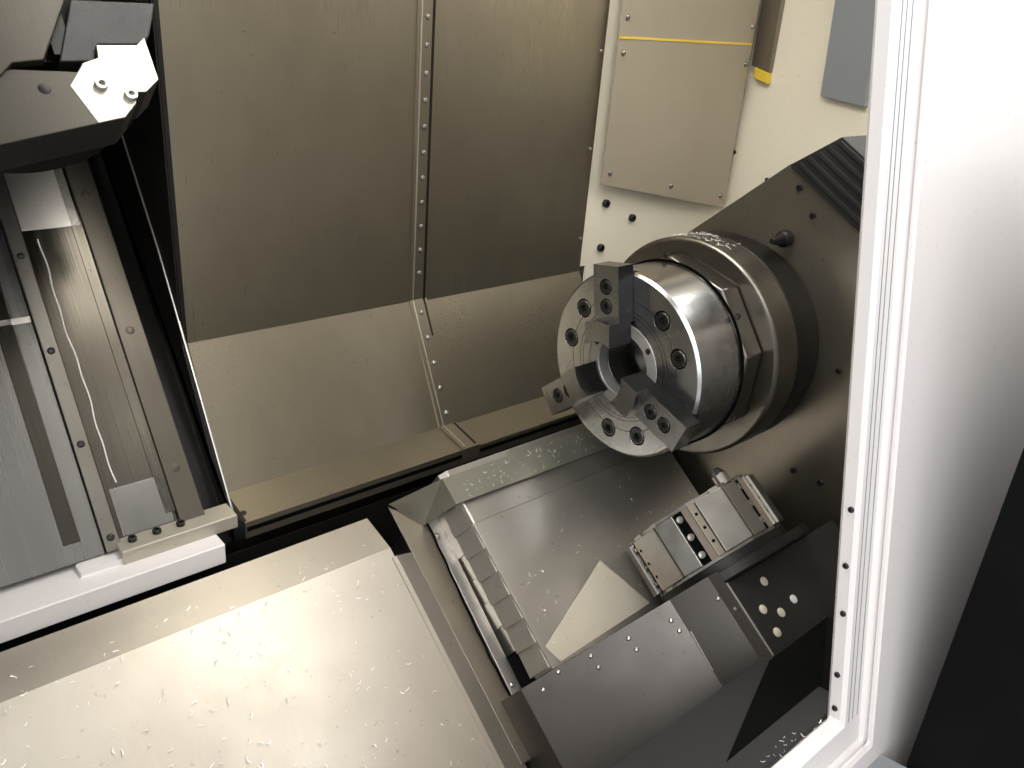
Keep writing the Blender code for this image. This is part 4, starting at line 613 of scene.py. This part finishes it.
wallFace = (yAxis, zAxis, -xAxis, datum + np.array([0.5747, 0, 0]))
wallParts = [
    ("wall_strip", [(0.256, 0.280), (0.291, 0.288), (0.300, 0.700), (0.262, 0.700)], 0.010, "headPlate"),
    ("wall_strip_end", [(0.2555, 0.264), (0.281, 0.270), (0.283, 0.2865), (0.256, 0.2800)], 0.012, "yellow"),
    ("wall_plate", [(0.159, 0.258), (0.086, 0.252), (0.118, 0.700), (0.190, 0.700)], 0.012, "grey"),
]
for name, outline, lift, finish in wallParts:
    bar(name, outline, 0, lift, wallFace, "machine", finish, bevel=0.001)
heads("right_wall_screws", put(machine, 0.5742, (0.228, 0.300, 0.306), (0.118, 0.150, 0.060)), -xAxis, 0.0035,
      "machine", "screw", "pan", 12)

# Chuck: bolts in their pockets lined with painted shade, turned grooves as rings of painted shade, pins
chuck = {"front": -0.0044, "faceBolts": 0.080, "spread": 15.5, "faceHead": 0.0089,
         "facePocket": 0.0110, "jawHead": 0.0069, "jawPocket": 0.0087, "jawLow": -0.028,
         "jawBolts": (0.0695, 0.0903), "grooves": (0.0588, 0.0632, 0.0750), "adapterX": 0.0675,
         "flangeScrews": np.radians((19.3, 139.3, 259.3))}


# Points on the face: (x, radius x cos(angle), radius x sin(angle)).
def onFace(x, radius, angle):
    return put(machine, x, radius * np.cos(angle), radius * np.sin(angle))


between = jawAngles + math.pi / 3
angles = np.concatenate([between - math.radians(chuck["spread"]), between + math.radians(chuck["spread"])])
size = chuck["faceHead"]
heads("chuck_face_bolts", onFace(chuck["front"] + size - 0.0003, chuck["faceBolts"], angles), -xAxis, size,
      "spindle", "screw", "socket", 24)
# Black liners on the face pockets' floors and walls: painted shade.
heads("chuck_face_pocket_shades", onFace(chuck["front"], chuck["faceBolts"], angles), -xAxis, chuck["facePocket"],
      "spindle", "blackSteel", "pocket", 24)
size = chuck["jawHead"]
radii = np.array(chuck["jawBolts"])
for number, angle in enumerate(jawAngles, 1):
    heads(f"jaw_bolts_{number}", onFace(chuck["jawLow"] + size - 0.0003, radii, angle), -xAxis, size,
          f"jaw_{number}", "screw", "socket", 24)
    # Black liners in the jaw bolts' pockets: painted shade.
    heads(f"jaw_pocket_shades_{number}", onFace(chuck["jawLow"], radii, angle), -xAxis, chuck["jawPocket"],
          f"jaw_{number}", "blackSteel", "pocket", 24)
# Thin black rings on the face at the grooves' radii: painted shade in the grooves.
for number, radius in enumerate(chuck["grooves"], 1):
    x = chuck["front"]
    turned(f"chuck_groove_shade_{number}", [(radius, x + 0.001), (radius + 0.0006, x + 0.001),
                                      (radius + 0.0006, x - 0.00006), (radius, x - 0.00006),
                                      (radius, x + 0.001)], datum, xAxis, "spindle", "blackSteel", 96)
heads("flange_screws", onFace(chuck["front"], 0.0430, chuck["flangeScrews"]), -xAxis, 0.0034, "spindle",
      "screw", "plug", 16)
heads("adapter_plugs", onFace(chuck["adapterX"], 0.112, np.radians(np.arange(20, 380, 60))), -xAxis, 0.0035,
      "spindle", "screw", "plug", 14)

# Black ring between the chuck and the adapter: painted shadow in the gap.
turned("chuck_rear_painted_shadow", [(0.1047, 0.0662), (0.1078, 0.0662), (0.1078, 0.0674), (0.1047, 0.0674),
                          (0.1047, 0.0662)], datum, xAxis, "spindle", "blackAndPaintedShade", 96)

# Headstock
headstock = {"plateX": 0.1952, "bolt": 0.0036}
heads("headstock_bolts", put(machine, headstock["plateX"], (-0.075, -0.148, -0.124, -0.160, -0.180, -0.052),
                             (0.164, 0.005, -0.136, -0.135, 0.075, 0.190)), -xAxis, headstock["bolt"],
      "headstock", "screw", "socket", 16)

# Wiper ribs: five bars along the wiper's length.
edge = np.array([-0.176, -0.0952])
edge /= np.linalg.norm(edge)
lean = np.array([-0.054, 0.039])
corner = np.array([-0.0342, 0.2133]) + edge * 0.002
across = np.linspace(0.12, 0.88, 5)
ribs = []
for share in across:
    foot = corner + lean * share
    ribs.append([foot + edge * 0.004, foot + edge * 0.126, foot + edge * 0.126 + lean * 0.08,
                 foot + edge * 0.004 + lean * 0.08])
bars("wiper_ribs", ribs, -0.003, 0.0005, (yAxis, zAxis, xAxis, datum + np.array([0.190, 0, 0])),
     "headstock", "rubber", bevel=0.0006)

# Column of the upper turret
# Plates lie on the saddle's slanted face: each is a rectangle (x, u) lifted off it.
column = {"face": -0.2492, "rail": (-0.501, -0.487), "wide": (-0.428, -0.403), "top": 0.70, "bottom": -0.004,
          "railScrews": (0.305, 0.203, 0.105, 0.0095), "screw": 0.0036,
          "wideScrews": (0.366, 0.210, 0.058), "widePlug": 0.0048}
face = column["face"]
r0, r1 = column["rail"]
w0, w1 = column["wide"]
low, high = column["bottom"], column["top"]
flatPlates = [
    ("column_far_plate", (-0.758, r0 - 0.0006, low, high), 0.0035, "columnPale"),
    ("column_near_plate", (r1 + 0.0006, w0 - 0.0008, low, high), 0.0035, "column"),
    ("column_top_plate", (r1 + 0.0012, w0 - 0.0014, 0.333, high), 0.0042, "hem"),
    ("column_foot_plate", (r1 + 0.005, w0 - 0.004, 0.006, 0.055), 0.0042, "columnPale"),
    ("column_narrow_rail", (r0, r1, low, high), 0.0080, "narrowRail"),
    ("column_wide_rail", (w0, w1, low, high), 0.0075, "rail"),
    ("column_seam_bar", (-0.758, r0 - 0.0010, 0.2365, 0.2435), 0.0042, "hem"),
]
for name, (x0, x1, u0, u1), lift, finish in flatPlates:
    bar(name, rectangle(x0, x1, u0, u1), face, face + lift, upper, "saddle", finish, bevel=0.0007)
heads("narrow_rail_screws", put(upper, (r0 + r1) / 2, column["railScrews"], face + 0.0080), pAxis,
      column["screw"], "saddle", "screw", "pan", 16)
heads("wide_rail_screws", put(upper, (w0 + w1) / 2 - 0.001, column["wideScrews"], face + 0.0068), pAxis,
      column["widePlug"], "saddle", "rail", "plug", 20)
# Bead: x = a middle + two small sines of the way down the plate.
way = np.linspace(0.323, 0.060, 60)
wander = -0.4738 + 0.0009 * np.sin(way * 47) + 0.0006 * np.sin(way * 131 + 1)
rod("column_bead", put(upper, wander, way, face + 0.0034), 0.0008, "saddle", "white", 8)
bar("web_skin", [(0.2996, 0.84), (0.2996, -0.0065), (0.2226, -0.1545), (0.2044, -0.1578), (0.2044, -0.17),
                 (0.74, 0.44), (0.74, 0.84)], -0.3722, -0.3711,
    (yAxis, zAxis, xAxis, datum), "saddle", "blackSteel")
bar("shelf_skin", rectangle(-0.4025, -0.3724, -0.03, 0.73), -0.2890, -0.2880, upper, "saddle", "blackSteel")
edgeLine = np.array([put(upper, -0.3726, u, p) for u, p in ((-0.0177, -0.2524), (0.129, -0.2311),
                                                          (0.2815, -0.2108), (0.430, -0.2030))])
rod("web_edge", edgeLine, 0.0013, "saddle", "hem", 8)
clamp = {"x": (-0.4915, -0.3765), "y": (0.171, 0.1985), "z": (-0.1652, -0.1500)}
bar("sill_clamp", rectangle(*clamp["x"], *clamp["y"]), *clamp["z"], machine, "saddle", "toolEnd", bevel=0.001)
heads("sill_clamp_screws", put(machine, (-0.477, -0.4535, -0.430), 0.185, clamp["z"][1]), zAxis, 0.0042,
      "saddle", "screw", "socket", 16)

# Upper turret
# Tool block in front of the drum, seen from below, dark with a pale right part that is painted light; outline
# in (x, u).
holder = {"p": (-0.006, 0.0345), "reach": 0.9472}
blockFace = np.array([(-0.560, 0.2860), (-0.534, 0.2930), (-0.438, 0.3130), (-0.425, 0.3260), (-0.423, 0.3360),
                      (-0.414, 0.3360), (-0.400, 0.3480), (-0.400, 0.3890), (-0.409, 0.3810), (-0.442, 0.3800),
                      (-0.444, 0.3680), (-0.457, 0.3630), (-0.463, 0.3550), (-0.509, 0.3570), (-0.560, 0.3480)])
seat = np.array([-0.678, -0.071])
blockFace = seat + (blockFace - seat) * holder["reach"]
block = bar("upper_tool_block", blockFace, *holder["p"], upper, "upper_turret", "toolFace", bevel=0.0009)
block.data.materials.append(finishes["toolBlock"])
for face in block.data.polygons:
    if abs(face.normal.dot(Vector(pAxis))) < 0.5:
        face.material_index = 1
# Pale plate over the right part of the block's face, in a second tone of the same steel: painted light.
paintedLightPart = seat + (np.array([(-0.4600, 0.3090), (-0.4380, 0.3135), (-0.4255, 0.3262), (-0.4233, 0.3365),
                             (-0.4143, 0.3365), (-0.4005, 0.3482), (-0.4005, 0.3880), (-0.4088, 0.3804),
                             (-0.4415, 0.3794), (-0.4435, 0.3675), (-0.4565, 0.3625), (-0.4630, 0.3540),
                             (-0.4720, 0.3420)]) - seat) * holder["reach"]
bar("upper_block_painted_light", paintedLightPart, holder["p"][1] - 0.001, holder["p"][1] + 0.0005, upper, "upper_turret",
    "toolEnd", bevel=0.0004)
bar("upper_turret_cover", [(-0.5600, 0.4250), (-0.4615, 0.4025), (-0.4960, 0.3400), (-0.5180, 0.3370),
                           (-0.5600, 0.2950)], 0.0300, 0.0380, upper, "upper_turret", "toolFace", bevel=0.001)
bar("upper_turret_step", [(-0.4600, 0.3990), (-0.3950, 0.4000), (-0.3990, 0.3900), (-0.4080, 0.3700),
                          (-0.4160, 0.3610), (-0.4510, 0.3600), (-0.4576, 0.3450), (-0.4830, 0.3440)],
    0.0100, 0.0300, upper, "upper_turret", "rubber", bevel=0.001)
heads("upper_block_screws", put(upper, (-0.4415, -0.4610), (0.3110, 0.3200), holder["p"][1]), pAxis,
      0.0050, "upper_turret", "brightScrew", "socket", 20)
heads("upper_block_holes", put(upper, (-0.5010,), (0.3180,), holder["p"][1] - 0.0008), pAxis,
      0.0050, "upper_turret", "blackSteel", "plug", 24)

# Lower turret
turret = {"centre": (0.048, -0.085), "flat": 0.085 * math.cos(math.pi / 12), "outer": 0.0853, "floor": 0.0755,
          "ends": (0.1642, 0.2243)}
cx, cn = turret["centre"]
stations = np.radians(np.arange(12) * 30)
outX, outN = np.cos(stations), np.sin(stations)
outward = outX[:, None] * xAxis + outN[:, None] * nAxis
sideways = -outN[:, None] * xAxis + outX[:, None] * nAxis
centre = put(lower, cx, 0, cn)


# The drum's copy draws in to the pockets' floor, and the plates bring it back out.
flat = turret["floor"]
drum = bpy.data.objects["turret_drum_finished"].data
for vertex in drum.vertices:
    off = np.array(vertex.co) - centre
    off -= sAxis * (off @ sAxis)
    if turret["flat"] - 0.002 < np.linalg.norm(off) < turret["outer"]:
        vertex.co = Vector(np.array(vertex.co) - off * (1 - flat / turret["flat"]))
holding, plain = slice(1, 12, 2), slice(0, 12, 2)


# One block per station: point = centre + end x axis + side x sideways + radius x outward.
def station(name, which, side, rise, finish, **looks):
    across = np.array((side[0], side[1], side[1], side[0]))
    radius = np.array((flat - 0.001, flat - 0.001, flat + rise, flat + rise))
    ring = across[None, :, None] * sideways[which][:, None] + radius[None, :, None] * outward[which][:, None]
    points = centre + np.array(turret["ends"])[None, :, None, None] * sAxis + ring[:, None]
    piece(name, points, ringFaces(len(outward[which]), 2, 4), "lower_turret", finish, **looks)


# Heads on each station's flat: centre + along x axis + (flat + rise) x outward + side x sideways.
def stationHeads(name, which, along, side, rise, size, finish, kind):
    spots = [centre + sAxis * s + outward[which] * (flat + rise) + sideways[which] * side for s in along]
    heads(name, np.concatenate(spots), np.tile(outward[which], (len(along), 1)), size, "lower_turret", finish,
          kind, 14)


station("plain_plates", holding, (0.0212, -0.0015), 0.0062, "drum", bevel=0.0008)
station("screw_pockets", holding, (-0.0018, -0.0115), 0.0005, "blackAndPaintedShade")
station("rough_seats", holding, (-0.0118, -0.0212), 0.0012, "recess")
stationHeads("pocket_screws", holding, (0.172, 0.193, 0.214), -0.0066, 0.0005, 0.0040, "brightScrew", "socket")
station("dotted_strips", plain, (0.0214, 0.0130), 0.0034, "headPlate", bevel=0.0005)
station("bright_plates", plain, (0.0126, -0.0208), 0.0066, "drum", bevel=0.0008)
stationHeads("strip_dots", plain, (0.176, 0.192, 0.208), 0.0172, 0.0033, 0.0018, "blackAndPaintedShade", "plug")

# Slide and housing: rows of screws, plugs, and a thin pale rod and bar that paint highlights on edges
slideTop = {"plugs": ((0.018, 0.268), (-0.006, 0.290), (0.014, 0.302), (-0.007, 0.315)), "pale": (0.041, 0.298)}
housing = put(lower, [p[0] for p in slideTop["plugs"]], [p[1] for p in slideTop["plugs"]], -0.0195)
heads("housing_plugs", housing, nAxis, 0.0048, "lower_x_slide", "patch", "plug", 16)
heads("housing_pale_plug", put(lower, *slideTop["pale"], -0.0195), nAxis, 0.0046, "lower_x_slide", "white",
      "plug", 16)
flankNormal = np.array([-0.68, -0.42, 0.60])
flankSpots = datum + np.array([(-0.170, -0.110, -0.262), (-0.143, -0.127, -0.243), (-0.112, -0.147, -0.222),
                               (-0.078, -0.170, -0.200), (-0.142, -0.138, -0.250), (-0.111, -0.158, -0.229),
                               (-0.186, -0.107, -0.279), (-0.077, -0.181, -0.206)])
heads("slide_flank_screws", flankSpots, flankNormal, 0.0024, "lower_x_slide", "brightScrew", "pan", 14)
heads("slide_top_screws", datum + np.array([(-0.049, -0.199, -0.167)]), (-0.86, -0.30, 0.42), 0.0024,
      "lower_x_slide", "brightScrew", "pan", 14)
heads("slide_face_screws", datum + np.array([(-0.039, -0.214, -0.175), (-0.039, -0.262, -0.208)]),
      (0, -0.5736, 0.8192), 0.0024, "lower_x_slide", "brightScrew", "pan", 14)
# Pale rod on the slide's lower corner edge: painted highlight.
rod("slide_ridge_painted_highlight", datum + np.array([(-0.0705, -0.1895, -0.2040), (-0.0712, -0.2060, -0.2160),
                                     (-0.0718, -0.2232, -0.2290)]), 0.0010, "lower_x_slide", "hem", 8)
# Thin pale bar on the housing's edge: painted highlight.
bar("housing_edge_painted_highlight", rectangle(-0.0300, -0.0285, 0.2505, 0.330), -0.0205, -0.0190, lower, "lower_x_slide", "hem")

# Covers of the lower slide: stepped side plates, a pale plate that paints a patch of light, hem and seal
cover = {"steps": 7, "first": 0.034, "pitch": 0.0283, "edge": (-0.1588, -0.1738), "foot": (-0.1716, -0.1955)}
edge, foot = np.array(cover["edge"]), np.array(cover["foot"])
fall = (foot - edge) / np.linalg.norm(foot - edge)
side = np.array([fall[1], -fall[0]])
start = cover["first"] + cover["pitch"] * np.arange(cover["steps"])
steps = np.stack([np.stack([start, start * 0 - 0.0010], -1), np.stack([start, start * 0 + 0.0026], -1),
                  np.stack([start + cover["pitch"] * 0.985, start * 0 + 0.0054], -1),
                  np.stack([start + cover["pitch"] * 0.985, start * 0 - 0.0010], -1)], 1)
slanted = (sAxis, side[0] * xAxis + side[1] * nAxis, fall[0] * xAxis + fall[1] * nAxis,
           put(lower, edge[0], 0, edge[1]))
bars("cover_step_plates", steps, 0.0006, 0.0262, slanted, "lower_x_slide", "inner", bevel=0.0004)
# Pale plate on the slide's cover: a painted patch of reflected light.
bar("cover_painted_light_patch", [(-0.0315, 0.157), (-0.1560, 0.2119), (-0.1483, 0.2325), (0.0003, 0.2262)],
    -0.1712, -0.1699, lower, "lower_x_slide", "patch", bevel=0.0003)
bar("apron_band", [(-0.2135, -0.010), (-0.1800, 0.020), (-0.1890, 0.300), (-0.2135, 0.300)],
    -0.2300, -0.2274, lower, "carriage", "headPlate", bevel=0.0006)
bar("apron_hem", [(-0.1790, 0.022), (-0.1635, 0.022), (-0.1680, 0.150), (-0.1725, 0.262), (-0.1735, 0.300),
                  (-0.1880, 0.300)], -0.2300, -0.2264, lower, "carriage", "hem", bevel=0.0006)
seal = np.array([(-0.011, -0.2142), (0.0255, -0.1789), (0.0805, -0.1821), (0.1344, -0.1857), (0.1984, -0.1884),
                 (0.2575, -0.1882), (0.300, -0.1880)])
way = np.linspace(-0.011, 0.300, 90)
wander = np.interp(way, seal[:, 0], seal[:, 1]) + 0.0004 * np.sin(way * 190)
rod("apron_seal", put(lower, wander, way, -0.2259), 0.0012, "carriage", "blackAndPaintedShade", 8)
shelf = {"n": -0.1682, "thick": 0.0010, "out": -0.170, "in": 0.150}
flap = np.array([(shelf["in"], 0.0000, shelf["n"]), (shelf["in"], 0.0360, shelf["n"]),
                 (shelf["out"], 0.0330, shelf["n"]), (-0.1850, 0.0270, -0.2262), (-0.2142, -0.0110, -0.2262),
                 (shelf["out"], 0.0000, shelf["n"])])
under = flap - (0, 0, shelf["thick"])
corners = np.concatenate([put(lower, *flap.T), put(lower, *under.T)])
piece("corner_shelf", corners, [(0, 1, 2, 5), (5, 2, 3, 4), (6, 7, 8, 11), (11, 8, 9, 10), (0, 1, 7, 6),
                                (1, 2, 8, 7), (2, 3, 9, 8), (3, 4, 10, 9), (4, 5, 11, 10), (5, 0, 6, 11)],
      "carriage", "shelf")
scatter("shelf_chips", 70, (-0.150, 0.080), (0.003, 0.031), shelf["n"], lower, "carriage", 0.0036)
heads("apron_screws", put(lower, (-0.180, -0.1795, -0.175), (0.227, 0.249, 0.045), -0.2265), nAxis, 0.0032,
      "carriage", "brightScrew", "pan", 14)

# Jamb and sill
edgeScrews = [(-0.3335, 0.039), (-0.341, -0.006), (-0.349, -0.045), (-0.358, -0.098), (-0.3635, -0.128)]
heads("jamb_screws", put(machine, -0.1302, [s[0] for s in edgeScrews], [s[1] for s in edgeScrews]), -xAxis,
      0.0024, "machine", "screw", "pan", 12)
# Thin grey bars along the jamb: painted shadows of its grooves.
bars("jamb_groove_painted_shadows", [rectangle(x, x + 0.0009, -0.14, 0.72) for x in (-0.1225, -0.1165, -0.1090)],
     -0.0094, -0.0087, frontSide, "machine", "grey")
# Black mat on the sill: painted shadow behind the slide.
bar("sill_painted_shadow", [(-0.1090, -0.2930), (-0.0110, -0.2920), (-0.1300, -0.3540), (-0.1360, -0.3630),
                 (-0.2215, -0.3455), (-0.2330, -0.3370)], -0.1500, -0.1440, machine, "machine", "blackAndPaintedShade")

# Chips on the covers
scatter("front_cover_chips", 420, (-0.630, -0.250), (0.02, 0.50), -0.2150, lower, "carriage", 0.004)
scatter("x_cover_chips", 60, (-0.150, 0.160), (0.07, 0.228), -0.1705, lower, "lower_x_slide", 0.004)
scatter("apron_chips", 40, (-0.208, -0.182), (0.06, 0.205), -0.2377, lower, "carriage", 0.004)
scatter("sill_chips", 36, (-0.215, -0.135), (-0.372, -0.350), -0.1420, machine, "machine", 0.0032)
disc = {"radius": 0.1294, "x": (0.100, 0.136), "top": (68, 104), "chips": 70, "chipSize": 0.006}
angles = np.radians(random.uniform(*disc["top"], disc["chips"]))
spots = onFace(random.uniform(*disc["x"], disc["chips"]), disc["radius"], angles)
rims = (spots - datum - xAxis * (spots - datum)[:, :1]) / disc["radius"]
chips("disc_chips", spots, rims, "spindle", disc["chipSize"])

# Floor, camera and light
studio = {"floor": 30.0, "floorTone": (0.86, 0.86, 0.86), "sky": 0.68}
floor = bpy.data.objects.new("floor", bpy.data.meshes.new("floor"))
half = studio["floor"] / 2
floor.data.from_pydata([(-half, -half, 0), (half, -half, 0), (half, half, 0), (-half, half, 0)], [],
                       [(0, 1, 2, 3)])
bpy.context.scene.collection.objects.link(floor)
floorMade, floorShader, floorWire = newMaterial("floorPaint")
plug(floorShader, floorWire, colour=colour(*studio["floorTone"]), rough=0.7)
floor.data.materials.append(floorMade)

view = {"lens": 29.93, "place": (-0.6777, -0.5531, 0.3569)}
right = Vector((0.7548, -0.6514, 0.0772))
down = Vector((-0.2168, -0.3588, -0.9079))
ahead = Vector((0.6190, 0.6686, -0.4121))
lens = bpy.data.cameras.new("camera")
lens.lens = view["lens"]
lens.sensor_width = 36
lens.clip_start = 0.02
eye = bpy.data.objects.new("camera", lens)
bpy.context.scene.collection.objects.link(eye)
stand = Matrix((right, -down, -ahead)).transposed().to_4x4()
stand.translation = Vector(datum) + Vector(view["place"])
eye.matrix_world = stand
bpy.context.scene.camera = eye


# Area light aimed from a place to a target.
def lamp(name, place, target, size, power, tone=(1, 1, 1)):
    light = bpy.data.lights.new(name, "AREA")
    light.shape = "RECTANGLE"
    light.size, light.size_y = size
    light.energy = power
    light.color = tone
    made = bpy.data.objects.new(name, light)
    bpy.context.scene.collection.objects.link(made)
    made.location = Vector(datum) + Vector(place)
    made.rotation_euler = (Vector(target) - Vector(place)).to_track_quat("-Z", "Y").to_euler()


lamp("ceiling_lamp", (-0.15, -0.02, 0.84), (-0.05, 0.02, -0.20), (1.3, 0.35), 15, (1.0, 0.97, 0.91))
lamp("spindle_lamp", (0.46, -0.14, 0.56), (0.08, -0.08, 0.05), (0.22, 0.26), 1.1, (1.0, 0.98, 0.95))
lamp("left_lamp", (-1.5, -1.2, 1.6), (-0.05, -0.36, 0.0), (0.8, 0.8), 18)
lamp("room_lamp", (-2.2, -3.0, 1.0), (0, 0, 0), (3.0, 2.0), 28)
lamp("side_lamp", (-4.2, -1.0, 1.8), (0, 0, 0), (3.0, 2.0), 60)
lamp("back_lamp", (1.5, 4.5, 2.2), (0, 0.3, 0), (3.0, 2.0), 150)

world = bpy.data.worlds.new("studio")
bpy.context.scene.world = world
world.use_nodes = True
sky = Wire(world.node_tree)
seen = sky.node("ShaderNodeLightPath", output=0)
mirrored = sky.node("ShaderNodeLightPath", output=3)
through = sky.node("ShaderNodeLightPath", output=6)
direct = (seen + mirrored + through).between(0, 1)
strength = direct * (1 - studio["sky"]) + studio["sky"]
background = world.node_tree.nodes["Background"]
background.inputs["Color"].default_value = (1, 1, 1, 1)
world.node_tree.links.new(strength.socket, background.inputs["Strength"])
bpy.context.scene.view_settings.view_transform = "Standard"
print("stage, camera and lamps set")
